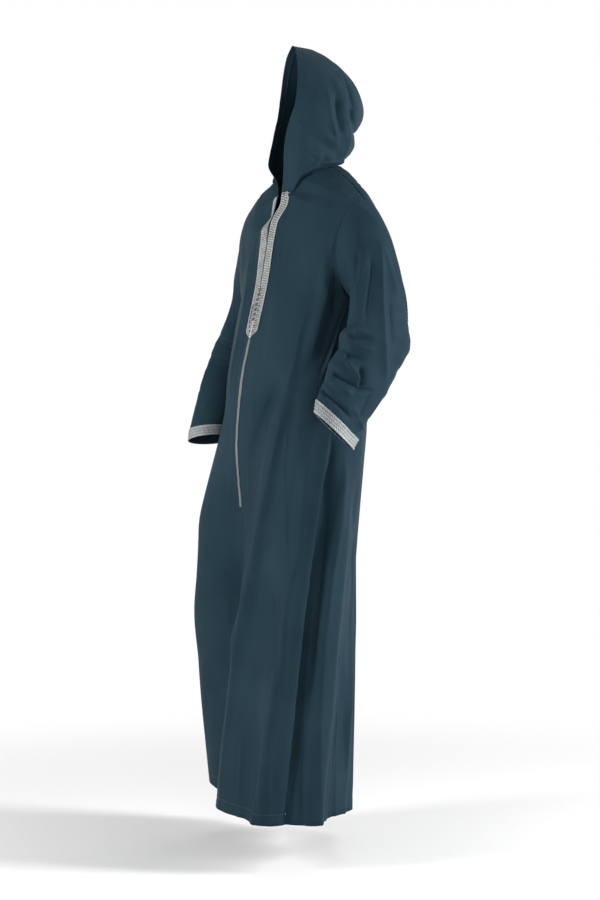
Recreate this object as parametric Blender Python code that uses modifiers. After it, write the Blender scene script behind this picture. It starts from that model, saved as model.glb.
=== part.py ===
"""Hooded djellaba robe, worn form, as sewn pieces of thin cloth.

Metres. +X is the robe's own left side, -Y the front, +Z up. The origin is the
centre of the base of the neck, NECK above the ground, level with the shoulders.
Heights h in the tables are above the ground and become z = h - NECK.
"""
import math
from collections import namedtuple

import bpy
from mathutils import Vector

NECK = 1.55        # height of the neck base above the ground
CLOTH = 0.0018     # wall of the cloth
TRIM = 0.0014      # wall of the braids
SEAM = 0.0004      # half of the gap between two pieces that run on smoothly
CREASE = 0.0011    # half of the gap where two pieces meet at an angle
ARMPIT = 1.262     # height where the side seam ends and the armhole starts

# ---------------------------------------------------------------- tables

# Sections of the robe below the armpits: the centre, the half width, the depth to
# the front and to the back, how square it is, and how far it is turned about z.
Ring = namedtuple("Ring", "h turn cx cy half_w front back power")
RINGS = [
    Ring(0.110, -27, -0.056, -0.036, 0.258, 0.148, 0.150, 2.1),
    Ring(0.300, -23, -0.051, -0.040, 0.254, 0.128, 0.154, 2.1),
    Ring(0.574, -17, -0.040, -0.042, 0.246, 0.100, 0.156, 2.1),
    Ring(0.800, -12, -0.026, -0.036, 0.240, 0.108, 0.154, 2.1),
    Ring(0.950, -8, -0.016, -0.030, 0.238, 0.132, 0.152, 2.1),
    Ring(1.080, -4, -0.007, -0.022, 0.217, 0.138, 0.144, 2.3),
    Ring(1.200, -1, -0.001, 0.006, 0.197, 0.147, 0.120, 2.6),
    Ring(1.262, 0, 0.000, 0.020, 0.190, 0.146, 0.108, 2.8),
]

# Upper front edge of a front panel from the armpit row (w 0) to the neck: half of
# the slit's gap, depth and height.
Edge = namedtuple("Edge", "w gap y h")
FRONT_EDGE = [
    Edge(0.00, 0.0004, -0.1260, 1.262),
    Edge(0.25, 0.0004, -0.1120, 1.335),
    Edge(0.50, 0.0020, -0.0980, 1.425),
    Edge(0.60, 0.0110, -0.0920, 1.470),
    Edge(0.70, 0.0260, -0.0800, 1.516),
]
BACK_EDGE = [
    Edge(0.00, 0.0, 0.1240, 1.262),
    Edge(0.30, 0.0, 0.1400, 1.370),
    Edge(0.60, 0.0, 0.1280, 1.490),
    Edge(0.85, 0.0, 0.0760, 1.595),
]

# The neck seam from the slit (q 0) round to the nape (q 1), left half.
Neck = namedtuple("Neck", "q x y h")
NECKLINE = [
    Neck(0.0000, 0.0260, -0.0800, 1.516),
    Neck(0.1625, 0.0480, -0.0690, 1.523),
    Neck(0.3250, 0.0690, -0.0520, 1.536),
    Neck(0.4875, 0.0820, -0.0280, 1.556),
    Neck(0.6500, 0.0860, 0.0060, 1.572),
    Neck(0.8250, 0.0620, 0.0520, 1.587),
    Neck(1.0000, 0.0000, 0.0760, 1.595),
]

# Armholes: centre, half height, half depth, lean of the plane (x of its up vector).
Hole = namedtuple("Hole", "x y h half_h half_d lean")
ARMHOLE = {
    +1: Hole(0.2055, 0.020, 1.3735, 0.112, 0.060, 0.14),
    -1: Hole(-0.2155, 0.020, 1.3910, 0.131, 0.074, 0.20),
}
SHOULDER_BOW = 0.010    # how far the shoulders rise above a straight line
POWER_UP = [(0.0, 2.8), (0.25, 2.3), (0.5, 2.0), (0.7, 1.45), (1.0, 1.05)]

# Sleeves below the armhole: the outer line, the inner line, the half depth between
# front and back, and how far the front of the section is tilted up, in degrees.
Cuff = namedtuple("Cuff", "t ox oy oh ix iy ih half_d tilt")
SLEEVE = {
    +1: [
        Cuff(0.08, 0.257, 0.020, 1.442, 0.210, 0.020, 1.258, 0.061, 0),
        Cuff(0.18, 0.284, 0.022, 1.382, 0.226, 0.022, 1.245, 0.062, 1),
        Cuff(0.30, 0.306, 0.021, 1.306, 0.234, 0.021, 1.213, 0.067, 3),
        Cuff(0.42, 0.323, 0.018, 1.235, 0.237, 0.016, 1.178, 0.074, 7),
        Cuff(0.52, 0.336, 0.010, 1.180, 0.240, 0.008, 1.160, 0.083, 13),
        Cuff(0.66, 0.337, -0.032, 1.098, 0.241, -0.024, 1.102, 0.076, 24),
        Cuff(0.80, 0.333, -0.074, 1.036, 0.241, -0.058, 1.044, 0.069, 37),
        Cuff(0.94, 0.330, -0.106, 0.988, 0.240, -0.072, 1.000, 0.065, 40),
        Cuff(1.00, 0.330, -0.114, 0.964, 0.240, -0.080, 0.976, 0.061, 40),
    ],
    -1: [
        Cuff(0.08, -0.270, 0.020, 1.460, -0.210, 0.020, 1.258, 0.071, 0),
        Cuff(0.18, -0.293, 0.020, 1.396, -0.227, 0.020, 1.244, 0.068, 1),
        Cuff(0.30, -0.307, 0.016, 1.316, -0.232, 0.016, 1.212, 0.068, 3),
        Cuff(0.42, -0.318, 0.002, 1.240, -0.235, 0.002, 1.180, 0.072, 7),
        Cuff(0.52, -0.330, -0.014, 1.180, -0.239, -0.014, 1.150, 0.075, 12),
        Cuff(0.66, -0.334, -0.044, 1.100, -0.242, -0.044, 1.104, 0.072, 12),
        Cuff(0.80, -0.336, -0.071, 1.030, -0.244, -0.071, 1.042, 0.066, 7),
        Cuff(0.94, -0.336, -0.091, 0.968, -0.246, -0.091, 0.990, 0.060, 2),
        Cuff(1.00, -0.334, -0.096, 0.944, -0.248, -0.096, 0.968, 0.058, 0),
    ],
}

# Folds of the sleeves: share of the way down and angle round (0 front, 90 outer, -90
# inner side) at both ends, half width as a share of the way, depth.
ArmFold = namedtuple("ArmFold", "t0 a0 t1 a1 width depth")
ARM_FOLDS = {
    +1: [
        ArmFold(0.47, -50, 0.49, 60, 0.030, -0.010),
        ArmFold(0.54, -70, 0.55, 50, 0.028, 0.007),
        ArmFold(0.61, -60, 0.62, 70, 0.030, -0.011),
        ArmFold(0.70, -40, 0.72, 60, 0.030, 0.006),
        ArmFold(0.80, -30, 0.84, 60, 0.030, -0.006),
        ArmFold(0.30, 150, 0.46, 190, 0.030, 0.006),
    ],
    -1: [
        ArmFold(0.48, -70, 0.50, 20, 0.030, -0.007),
        ArmFold(0.55, -60, 0.55, 30, 0.028, 0.004),
        ArmFold(0.61, -60, 0.63, 20, 0.030, -0.007),
        ArmFold(0.76, -40, 0.80, 50, 0.030, -0.004),
        ArmFold(0.28, 150, 0.44, 200, 0.030, 0.006),
    ],
}

# Hood, left half before it is turned to one side: the front edge, the top
# seam and the back seam (with its fold above the nape), all in the profile plane.
Face = namedtuple("Face", "v x y h")
FACE_EDGE = [
    Face(0.00, 0.0260, -0.0800, 1.516),
    Face(0.10, 0.0390, -0.0770, 1.556),
    Face(0.22, 0.0550, -0.0710, 1.606),
    Face(0.36, 0.0760, -0.0600, 1.660),
    Face(0.52, 0.0900, -0.0460, 1.712),
    Face(0.68, 0.0880, -0.0400, 1.762),
    Face(0.82, 0.0720, -0.0380, 1.808),
    Face(0.93, 0.0440, -0.0360, 1.844),
    Face(1.00, 0.0000, -0.0330, 1.862),
]
Seam = namedtuple("Seam", "s y h")
TOP_SEAM = [
    Seam(0.00, -0.0330, 1.862),
    Seam(0.25, 0.0130, 1.855),
    Seam(0.50, 0.0570, 1.834),
    Seam(0.75, 0.0980, 1.798),
    Seam(1.00, 0.1270, 1.746),
]
BACK_SEAM = [
    Seam(0.00, 0.0760, 1.595),
    Seam(0.14, 0.1000, 1.610),
    Seam(0.28, 0.1120, 1.630),
    Seam(0.40, 0.1115, 1.648),
    Seam(0.50, 0.1085, 1.661),
    Seam(0.60, 0.1190, 1.672),
    Seam(0.74, 0.1310, 1.694),
    Seam(0.88, 0.1340, 1.718),
    Seam(1.00, 0.1270, 1.746),
]
HOOD_TURN = -17.0

# Folds of the body: angle round the robe (0 centre front, 90 the left side,
# 180 back) at the lower and the upper end, the ends' heights, the half width in
# degrees below and above, depth out of the cloth below and above (less than 0 is a
# trough), and the length over which each end fades.
Fold = namedtuple("Fold", "a0 a1 h0 h1 w0 w1 d0 d1 fade0 fade1")
FOLDS = [
    Fold(-41, -34, 0.10, 0.64, 20, 21, 0.050, 0.104, 0.00, 0.22),     # forward swell, low
    Fold(-34, -36, 0.42, 1.06, 21, 22, 0.106, 0.064, 0.22, 0.32),     # forward swell, middle
    Fold(10, 14, 0.10, 0.60, 7, 7, 0.004, 0.020, 0.00, 0.12),         # near front ridge
    Fold(13, 50, 0.42, 1.14, 8, 6, 0.020, 0.010, 0.14, 0.14),         # its way up to the ribs
    Fold(-9, -4, 0.10, 0.86, 8, 8, -0.022, -0.075, 0.00, 0.45),       # deep valley beside it
    Fold(15, 42, 0.88, 1.12, 6, 6, -0.008, -0.007, 0.08, 0.08),
    Fold(43, 42, 0.10, 0.74, 15, 12, -0.022, -0.010, 0.00, 0.30),
    Fold(66, 72, 0.10, 0.80, 7, 7, 0.014, 0.008, 0.00, 0.25),
    Fold(92, 96, 0.10, 0.92, 7, 6, -0.016, -0.010, 0.00, 0.20),       # beside the side seam
    Fold(112, 116, 0.10, 0.90, 9, 8, 0.018, 0.008, 0.00, 0.25),
    Fold(138, 140, 0.10, 0.85, 8, 8, -0.018, -0.006, 0.00, 0.30),
    Fold(162, 164, 0.10, 0.80, 10, 9, 0.018, 0.006, 0.00, 0.30),
    Fold(188, 190, 0.10, 0.80, 8, 8, -0.018, -0.006, 0.00, 0.30),
    Fold(214, 214, 0.10, 0.90, 10, 9, 0.020, 0.006, 0.00, 0.30),
    Fold(240, 240, 0.10, 0.80, 8, 8, -0.018, -0.006, 0.00, 0.25),
    Fold(264, 262, 0.10, 0.90, 9, 8, 0.018, 0.010, 0.00, 0.25),
    Fold(288, 290, 0.10, 0.80, 8, 8, -0.016, -0.006, 0.00, 0.25),
    Fold(78, 80, 0.86, 1.10, 16, 14, -0.012, -0.012, 0.10, 0.10),     # flatter beside the cuff
    Fold(57, 72, 1.08, 1.38, 6, 6, 0.007, 0.006, 0.08, 0.10),         # ribs to the armpit
    Fold(70, 78, 1.10, 1.32, 5, 5, -0.008, -0.007, 0.08, 0.08),
    Fold(-48, -66, 1.02, 1.36, 7, 6, 0.008, 0.006, 0.10, 0.10),
    Fold(-66, -74, 1.06, 1.30, 6, 5, -0.008, -0.006, 0.08, 0.08),
    Fold(128, 112, 1.00, 1.36, 7, 6, 0.009, 0.007, 0.12, 0.10),       # back, below the shoulders
    Fold(148, 136, 0.96, 1.36, 8, 7, -0.008, -0.006, 0.14, 0.12),
    Fold(206, 226, 0.98, 1.38, 8, 7, 0.009, 0.006, 0.14, 0.12),
    Fold(228, 242, 1.00, 1.36, 7, 6, -0.008, -0.006, 0.12, 0.10),
]

HEM_LIFT = (-33, 34, 0.022)     # the forward swell lifts the hem: angle, width, lift

# ---------------------------------------------------------------- reading tables


def look(rows, x):
    """Values of a table at x, carried smoothly between its rows (first column)."""
    if x <= rows[0][0]:
        return tuple(rows[0][1:])
    if x >= rows[-1][0]:
        return tuple(rows[-1][1:])
    i = max(k for k in range(len(rows) - 1) if rows[k][0] <= x)
    a, b = rows[i], rows[i + 1]
    before = rows[i - 1] if i > 0 else a
    after = rows[i + 2] if i + 2 < len(rows) else b
    h = b[0] - a[0]
    t = (x - a[0]) / h
    out = []
    for c in range(1, len(a)):
        ma = (b[c] - before[c]) / (b[0] - before[0]) * h
        mb = (after[c] - a[c]) / (after[0] - a[0]) * h
        out.append((2 * t ** 3 - 3 * t ** 2 + 1) * a[c] + (t ** 3 - 2 * t ** 2 + t) * ma
                   + (3 * t ** 2 - 2 * t ** 3) * b[c] + (t ** 3 - t ** 2) * mb)
    return tuple(out)


def straight(rows, x):
    """Values of a table at x along straight lines, where two pieces share an edge."""
    i = max([k for k in range(len(rows) - 1) if rows[k][0] <= x] or [0])
    a, b = rows[i], rows[i + 1]
    t = min(1.0, max(0.0, (x - a[0]) / (b[0] - a[0])))
    return tuple(a[c] + t * (b[c] - a[c]) for c in range(1, len(a)))


def ease(t):
    t = min(1.0, max(0.0, t))
    return t * t * (3 - 2 * t)


def unit(v):
    return v / max(v.length, 1e-9)


# ---------------------------------------------------------------- body surface


def fold_depth(angle, h):
    """How far the folds move the cloth out at an angle (degrees) and a height."""
    total = 0.0
    for f in FOLDS:
        if (f.fade0 and h < f.h0) or h > f.h1:
            continue
        t = (h - f.h0) / (f.h1 - f.h0)
        t = min(1.0, max(0.0, t))
        off = (angle - (f.a0 + (f.a1 - f.a0) * t) + 180.0) % 360.0 - 180.0
        width = f.w0 + (f.w1 - f.w0) * t
        if abs(off) > 3 * width:
            continue
        start = ease((h - f.h0) / f.fade0) if f.fade0 else 1.0
        size = (f.d0 + (f.d1 - f.d0) * t) * ease((f.h1 - h) / f.fade1) * start
        total += size * math.exp(-(off / width) ** 2)
    return total


def hem_lift(angle, h):
    at, width, lift = HEM_LIFT
    off = (angle - at + 180.0) % 360.0 - 180.0
    return lift * math.exp(-(off / width) ** 2) * ease((0.40 - h) / 0.30)


def quarter(u, power):
    """Shares of the way out (x) and of the way forward (y) on a quarter round."""
    a = u * math.pi / 2
    return math.sin(a) ** (2 / power), math.cos(a) ** (2 / power)


def lower(angle, h, inset=0.0):
    """Point of the robe below the armpits. inset: metres back from a seam line."""
    turn, cx, cy, half_w, front, back, power = look(RINGS, h)
    a = math.radians(angle)
    sx, sy = math.sin(a), math.cos(a)
    x = math.copysign(abs(sx) ** (2 / power), sx) * half_w
    y = -math.copysign(abs(sy) ** (2 / power), sy) * (front if sy > 0 else back)
    d = fold_depth(angle, h)
    r = math.hypot(x / half_w ** 2, y / front ** 2)
    x, y = x + d * x / half_w ** 2 / r, y + d * y / front ** 2 / r
    c, s = math.cos(math.radians(turn)), math.sin(math.radians(turn))
    return Vector((cx + c * x - s * y, cy + s * x + c * y, h + hem_lift(angle, h) - NECK))


def neck(q, side):
    x, y, h = straight(NECKLINE, q)
    return Vector((side * x, y, h - NECK))


def armhole(side, turn_deg, forward):
    """Point of the armhole: -90 the armpit, 90 the shoulder tip."""
    o = ARMHOLE[side]
    up = unit(Vector((side * o.lean, 0.0, 1.0)))
    a = math.radians(turn_deg)
    return (Vector((o.x, o.y, o.h - NECK)) + up * (o.half_h * math.sin(a))
            + Vector((0.0, -forward * o.half_d * math.cos(a), 0.0)))


def armhole_normal(side):
    o = ARMHOLE[side]
    return unit(Vector((side * 1.0, 0.0, -o.lean)))


def upper(side, forward, u, w):
    """Point of a panel above the armpits: w 0 at the armpit row, 1 at the shoulder."""
    if forward > 0:
        if w <= 0.70:
            gap, y, h = look(FRONT_EDGE, w)
            p0 = Vector((side * gap, y, h - NECK))
        else:
            p0 = neck(0.65 * (w - 0.70) / 0.30, side)
    else:
        if w <= 0.85:
            _, y, h = look(BACK_EDGE, w)
            p0 = Vector((0.0, y, h - NECK))
        else:
            p0 = neck(1.0 - 0.35 * (w - 0.85) / 0.15, side)
    p1 = armhole(side, -90 + 180 * w, forward)
    power, = look(POWER_UP, w)
    out, fore = quarter(u, power)
    # the armpit row runs on from the ring below it
    base = Vector((p0.x + (p1.x - p0.x) * out, p1.y + (p0.y - p1.y) * fore,
                   p0.z + (p1.z - p0.z) * out))
    angle = 90 * u if forward > 0 else 180 - 90 * u
    if side < 0:
        angle = -angle
    if w < 1e-9:
        return lower(angle, ARMPIT)
    blend = ease(w / 0.30)
    if blend < 1.0:
        ring = lower(angle, ARMPIT)
        start_p0 = lower(0 if forward > 0 else 180, ARMPIT)
        start_p1 = lower(90 * side, ARMPIT)
        out0, fore0 = quarter(u, RINGS[-1].power)
        plain = Vector((start_p0.x + (start_p1.x - start_p0.x) * out0,
                        start_p1.y + (start_p0.y - start_p1.y) * fore0, ring.z))
        base = base + (ring - plain) * (1 - blend)
    d = fold_depth(angle, base.z + NECK) * (1 - ease((w - 0.5) / 0.5))
    centre = Vector((0.0, 0.0, base.z - 0.25 * w * w))
    base.z += SHOULDER_BOW * math.sin(math.pi * u) ** 2 * w * w
    return base + unit(base - centre) * (d * blend)


LOWER_ROWS = 15
UP_ROWS = [0.125, 0.25, 0.375, 0.5, 0.6, 0.7, 0.775, 0.85, 0.925, 1.0]
COLS = 11


def row_heights():
    """Heights of the lower rows from the hem to the armpit."""
    h0 = RINGS[0].h
    return [h0 + (ARMPIT - h0) * k / LOWER_ROWS for k in range(LOWER_ROWS + 1)]


def body_point(side, forward, u, row):
    """Point of a body panel. row: a height below the armpit, or 10 + w above it."""
    if row < 9:
        angle = 90 * u if forward > 0 else 180 - 90 * u
        return lower(angle * side, row)
    return upper(side, forward, u, row - 10)


def pull(points, start_gap=0.0, end_gap=0.0):
    """Moves the ends of a row of points in along the row, to leave a seam gap."""
    pts = [p.copy() for p in points]
    if start_gap:
        pts[0] = pts[0] + unit(points[1] - points[0]) * start_gap
    if end_gap:
        pts[-1] = pts[-1] + unit(points[-2] - points[-1]) * end_gap
    return pts


def half_grid(side, forward, cols=COLS):
    rows = [h for h in row_heights()] + [10 + w for w in UP_ROWS]
    grid = []
    for r in rows:
        pts = [body_point(side, forward, j / cols, r) for j in range(cols + 1)]
        start = SEAM if forward > 0 and r < 10.45 else 0.0
        pts = pull(pts, start, CREASE if r > 9 else SEAM)
        grid.append(pts)
    # the shoulder seam and the neck seam are the last row and the first column above
    grid[-1] = [p + unit(q - p) * CREASE for p, q in zip(grid[-1], grid[-2])]
    for i, r in enumerate(rows):
        if (forward > 0 and r >= 10.7) or (forward < 0 and r >= 10.85):
            grid[i][0] = grid[i][0] + unit(grid[i][1] - grid[i][0]) * CREASE
    return grid


# ---------------------------------------------------------------- sleeves


def sleeve_rings(side):
    """Centre, out vector and forward vector of each ring, armhole to cuff."""
    o = ARMHOLE[side]
    up = unit(Vector((side * o.lean, 0.0, 1.0))) * o.half_h
    c0 = Vector((o.x, o.y, o.h - NECK)) + armhole_normal(side) * (1.6 * CREASE)
    first = Cuff(0.0, c0.x + up.x, c0.y, c0.z + up.z + NECK, c0.x - up.x, c0.y, c0.z - up.z + NECK, o.half_d, 0)
    table = [first] + SLEEVE[side]
    stops = [0.0, 0.05, 0.11, 0.18, 0.26, 0.34, 0.42, 0.48, 0.54, 0.61, 0.70, 0.80, 0.88, 0.94, 1.0]
    rings = []
    for t in stops:
        ox, oy, oh, ix, iy, ih, half, tilt = look(table, t)
        outer, inner = Vector((ox, oy, oh - NECK)), Vector((ix, iy, ih - NECK))
        r = math.radians(tilt)
        rings.append(((outer + inner) / 2, (outer - inner) / 2,
                      Vector((0.0, -math.cos(r), math.sin(r))) * half))
    return rings, stops


def arm_fold(side, t, a):
    total = 0.0
    for f in ARM_FOLDS[side]:
        along = (a - f.a0 + 180.0) % 360.0 - 180.0
        share = along / (f.a1 - f.a0)
        near = ease((share + 0.25) / 0.45) * ease((1.25 - share) / 0.45)
        off = t - (f.t0 + (f.t1 - f.t0) * min(1.0, max(0.0, share)))
        total += f.depth * near * math.exp(-(off / f.width) ** 2)
    return total


def sleeve_grid(side, out=0.0, from_ring=0):
    """Rings of points round the sleeve, starting at the armpit and going forward."""
    rings, stops = sleeve_rings(side)
    angles = [-90 + 180 * w for w in [0.0] + UP_ROWS]
    round_ = [(a, 1.0) for a in angles] + [(a, -1.0) for a in reversed(angles[1:-1])]
    grid = []
    for k, (c, v, f) in enumerate(rings[from_ring:]):
        row = []
        for a, fore in round_:
            r = math.radians(a)
            p = c + v * math.sin(r) + f * (fore * math.cos(r))
            move = out + arm_fold(side, stops[k + from_ring], a if fore > 0 else 180 - a)
            if move:
                n = unit(v.normalized() * math.sin(r) / v.length + f.normalized() * (fore * math.cos(r)) / f.length)
                p = p + n * move
            row.append(p)
        grid.append(row)
    return grid


# ---------------------------------------------------------------- hood

HOOD_U = [0.0, 0.08125, 0.1625, 0.24375, 0.325, 0.40625, 0.4875, 0.56875, 0.65,
          0.7375, 0.825, 0.8833, 0.9417, 0.975, 1.0]
HOOD_V = [0.0, 0.07, 0.16, 0.26, 0.37, 0.48, 0.59, 0.69, 0.78, 0.86, 0.93, 0.975, 1.0]
HoodFold = namedtuple("HoodFold", "y0 h0 y1 h1 width depth")
HOOD_FOLDS = [
    HoodFold(0.060, 1.815, 0.104, 1.705, 0.010, 0.006),
    HoodFold(0.045, 1.775, 0.075, 1.640, 0.010, 0.005),
    HoodFold(0.068, 1.775, 0.090, 1.668, 0.010, -0.007),
    HoodFold(0.104, 1.664, 0.030, 1.640, 0.012, -0.007),
    HoodFold(-0.020, 1.640, 0.050, 1.590, 0.014, -0.004),
    HoodFold(-0.040, 1.600, 0.030, 1.565, 0.014, 0.004),
]


def hood_point(side, u, v, extra=0.0):
    """Point of a hood half: u from the face edge to the back seam, v up from the neck."""
    fx, fy, fh = look(FACE_EDGE, v)
    ty, th = look(TOP_SEAM, u)
    by, bh = look(BACK_SEAM, v)
    nx, ny, nh = straight(NECKLINE, u)
    g = max(0.0, 1 - u ** 2.3) ** (1 / 2.3)
    x = max(0.0, fx) * g + (nx - FACE_EDGE[0].x * g) * (1 - v) ** 1.6
    bulge = 0.020 * math.sin(math.pi * min(1.0, u * 1.05)) * math.sin(math.pi * min(1.0, v * 1.05))
    x += max(0.0, bulge)

    def mix(f, b, t, n, c00, c10, c01, c11):
        return ((1 - u) * f + u * b + (1 - v) * n + v * t
                - ((1 - u) * (1 - v) * c00 + u * (1 - v) * c10 + (1 - u) * v * c01 + u * v * c11))

    first, last, top, crown = FACE_EDGE[0], BACK_SEAM[0], FACE_EDGE[-1], BACK_SEAM[-1]
    y = mix(fy, by, ty, ny, first.y, last.y, top.y, crown.y)
    h = mix(fh, bh, th, nh, first.h, last.h, top.h, crown.h)
    edge = min(1.0, (1 - u) / 0.12) * min(1.0, v / 0.10) * min(1.0, (1 - v) / 0.10)
    for f in HOOD_FOLDS:
        dy, dh = f.y1 - f.y0, f.h1 - f.h0
        length2 = dy * dy + dh * dh
        t = ((y - f.y0) * dy + (h - f.h0) * dh) / length2
        near = ease((t + 0.15) / 0.3) * ease((1.15 - t) / 0.3)
        off = ((y - f.y0) * dh - (h - f.h0) * dy) / math.sqrt(length2)
        x += f.depth * near * math.exp(-(off / f.width) ** 2) * ease(edge)
    x += extra
    turn = math.radians(HOOD_TURN) * ease(v / 0.36)
    c, s = math.cos(turn), math.sin(turn)
    x *= side
    return Vector((c * x - s * y, s * x + c * y, h - NECK))


def hood_grid(side):
    grid = []
    for v in HOOD_V:
        grid.append([hood_point(side, u, v, 0.0) for u in HOOD_U])
    # leave a gap along the top seam, the back seam and the neck seam
    turn0 = math.radians(HOOD_TURN)
    for v, row in zip(HOOD_V, grid):
        turn = turn0 * ease(v / 0.36)
        row[-1] = row[-1] + Vector((math.cos(turn), math.sin(turn), 0.0)) * (side * CREASE)
    side_dir = Vector((math.cos(turn0), math.sin(turn0), 0.0)) * side
    grid[-1] = [p + side_dir * CREASE for p in grid[-1][:-1]] + [grid[-1][-1]]
    grid[0] = [p + unit(q - p) * (3 * CREASE) for p, q in zip(grid[0], grid[1])]
    return grid


# ---------------------------------------------------------------- making objects

for old in list(bpy.data.objects):
    bpy.data.objects.remove(old, do_unlink=True)
COLLECTION = bpy.data.collections.new("djellaba_robe")
bpy.context.scene.collection.children.link(COLLECTION)


def colour(name, rgb, rough):
    m = bpy.data.materials.new(name)
    m.use_nodes = True
    b = m.node_tree.nodes["Principled BSDF"]
    b.inputs["Base Color"].default_value = (*rgb, 1.0)
    b.inputs["Roughness"].default_value = rough
    m.diffuse_color = (*rgb, 1.0)
    return m


def sheet(name, grid, wall, rgb, rough=0.7, closed=False, offset=0.0, flip=False):
    """A piece of cloth: a grid of points as an open surface, given its wall."""
    n, m = len(grid), len(grid[0])
    verts = [p for row in grid for p in row]
    faces = []
    for i in range(n - 1):
        for j in range(m if closed else m - 1):
            a, b = i * m + j, i * m + (j + 1) % m
            c, d = (i + 1) * m + (j + 1) % m, (i + 1) * m + j
            faces.append((a, d, c, b) if flip else (a, b, c, d))
    mesh = bpy.data.meshes.new(name)
    mesh.from_pydata([tuple(v) for v in verts], [], faces)
    mesh.update()
    ob = bpy.data.objects.new(name, mesh)
    COLLECTION.objects.link(ob)
    mesh.materials.append(colour(name, rgb, rough))
    mod = ob.modifiers.new("wall", "SOLIDIFY")
    mod.thickness = wall
    mod.offset = offset
    mod.use_rim = True
    mod.use_even_offset = False
    return ob


def normals_of(grid):
    """Unit normals of a grid of points, facing away from the row-by-column order."""
    n, m = len(grid), len(grid[0])
    out = []
    for i in range(n):
        row = []
        for j in range(m):
            a = grid[i][min(m - 1, j + 1)] - grid[i][max(0, j - 1)]
            b = grid[min(n - 1, i + 1)][j] - grid[max(0, i - 1)][j]
            row.append(unit(a.cross(b)))
        out.append(row)
    return out


def on_row(points, length):
    """Point at a length along a row of points."""
    for a, b in zip(points, points[1:]):
        step = (b - a).length
        if length <= step:
            return a + (b - a) * (length / step)
        length -= step
    return points[-1].copy()


TEAL = (0.028, 0.050, 0.068)
SILVER = (0.27, 0.29, 0.28)


def main():
    halves = {(s, f): half_grid(s, f) for s in (1, -1) for f in (1, -1)}
    sheet("front_left", halves[1, 1], CLOTH, TEAL)
    sheet("front_right", halves[-1, 1], CLOTH, TEAL, flip=True)
    # the back is one piece: its left half from the side to the centre, then its right
    rows = []
    for left, right in zip(halves[1, -1], halves[-1, -1]):
        if (left[0] - right[0]).length < 0.004:
            rows.append(list(reversed(left)) + right[1:])
        else:
            rows.append(None)
    last = max(i for i, r in enumerate(rows) if r is not None)
    # above the nape the neck curve parts the two sides, so a row is pulled down there
    for i in range(last + 1, len(rows)):
        left, right = halves[1, -1][i], halves[-1, -1][i]
        rows[i] = (left, right)
    back_sheet("back", rows, last)

    for side, word in ((1, "left"), (-1, "right")):
        grid = sleeve_grid(side)
        sheet("sleeve_" + word, grid, CLOTH, TEAL, closed=True, flip=side < 0)
        band = sleeve_grid(side, out=CLOTH / 2 + TRIM / 2 + 0.0005, from_ring=13)
        sheet("cuff_braid_" + word, band, TRIM, SILVER, closed=True, flip=side < 0)
        sheet("hood_" + word, hood_grid(side), CLOTH, TEAL, flip=side < 0)
        strip = placket_grid(side, halves[side, 1])
        sheet("placket_braid_" + word, strip, TRIM, SILVER, flip=side < 0)

    sheet("front_braid_line", line_grid(halves), TRIM, SILVER)
    sheet("pocket_bag_left", pocket_grid(halves[1, 1]), CLOTH, TEAL)


def back_sheet(name, rows, last):
    """The back panel. Below the nape its rows are whole; above it they part in two."""
    verts, index = [], []
    for i, r in enumerate(rows):
        if i <= last:
            index.append([len(verts) + k for k in range(len(r))])
            verts += r
        else:
            ids = []
            for half in r:
                ids.append([len(verts) + k for k in range(len(half))])
                verts += half
            index.append(ids)
    faces = []
    m = len(rows[0])
    c = m // 2
    for i in range(len(rows) - 1):
        if i < last:
            a, b = index[i], index[i + 1]
            faces += [(a[j], a[j + 1], b[j + 1], b[j]) for j in range(m - 1)]
            continue
        for k in (0, 1):
            if i == last:
                low = list(reversed(index[i][:c + 1])) if k == 0 else index[i][c:]
            else:
                low = index[i][k]
            high = index[i + 1][k]
            for j in range(c):
                f = (low[j], low[j + 1], high[j + 1], high[j])
                faces.append(tuple(reversed(f)) if k == 0 else f)
    mesh = bpy.data.meshes.new(name)
    mesh.from_pydata([tuple(v) for v in verts], [], faces)
    mesh.update()
    ob = bpy.data.objects.new(name, mesh)
    COLLECTION.objects.link(ob)
    mesh.materials.append(colour(name, TEAL, 0.7))
    mod = ob.modifiers.new("wall", "SOLIDIFY")
    mod.thickness = CLOTH
    mod.offset = 0.0
    mod.use_rim = True
    return ob


PLACKET_WIDTH = 0.030
PLACKET_TIP = 1.184


def panel_row(panel, h):
    """Points and normals of a front panel's row at a height of its centre line."""
    i = max([k for k in range(len(panel) - 1) if panel[k][0].z + NECK <= h + 1e-6] or [0])
    lo, hi = panel[i][0].z + NECK, panel[i + 1][0].z + NECK
    t = (h - lo) / (hi - lo)
    pts = [a + (b - a) * t for a, b in zip(panel[i], panel[i + 1])]
    n = unit((panel[i + 1][0] - panel[i][0]).cross(pts[1] - pts[0]))
    return pts, (n if n.y < 0 else -n)


def placket_grid(side, panel):
    """Braid beside the neck slit, made from the panel's own rows, moved out."""
    rows = [p[0].z + NECK for p, r in zip(panel, row_heights() + [10 + w for w in UP_ROWS]) if r <= 10.7]
    keys = [PLACKET_TIP, PLACKET_TIP + 0.016] + [h for h in rows if h > PLACKET_TIP + 0.022]
    out = []
    for h in keys:
        pts, n = panel_row(panel, h)
        width = 0.004 if h == PLACKET_TIP else PLACKET_WIDTH
        out.append([on_row(pts, 0.0006 + width * k / 2) + n * (CLOTH / 2 + TRIM / 2 + 0.0005) for k in range(3)])
    return out


LINE_END = 0.800


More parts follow.
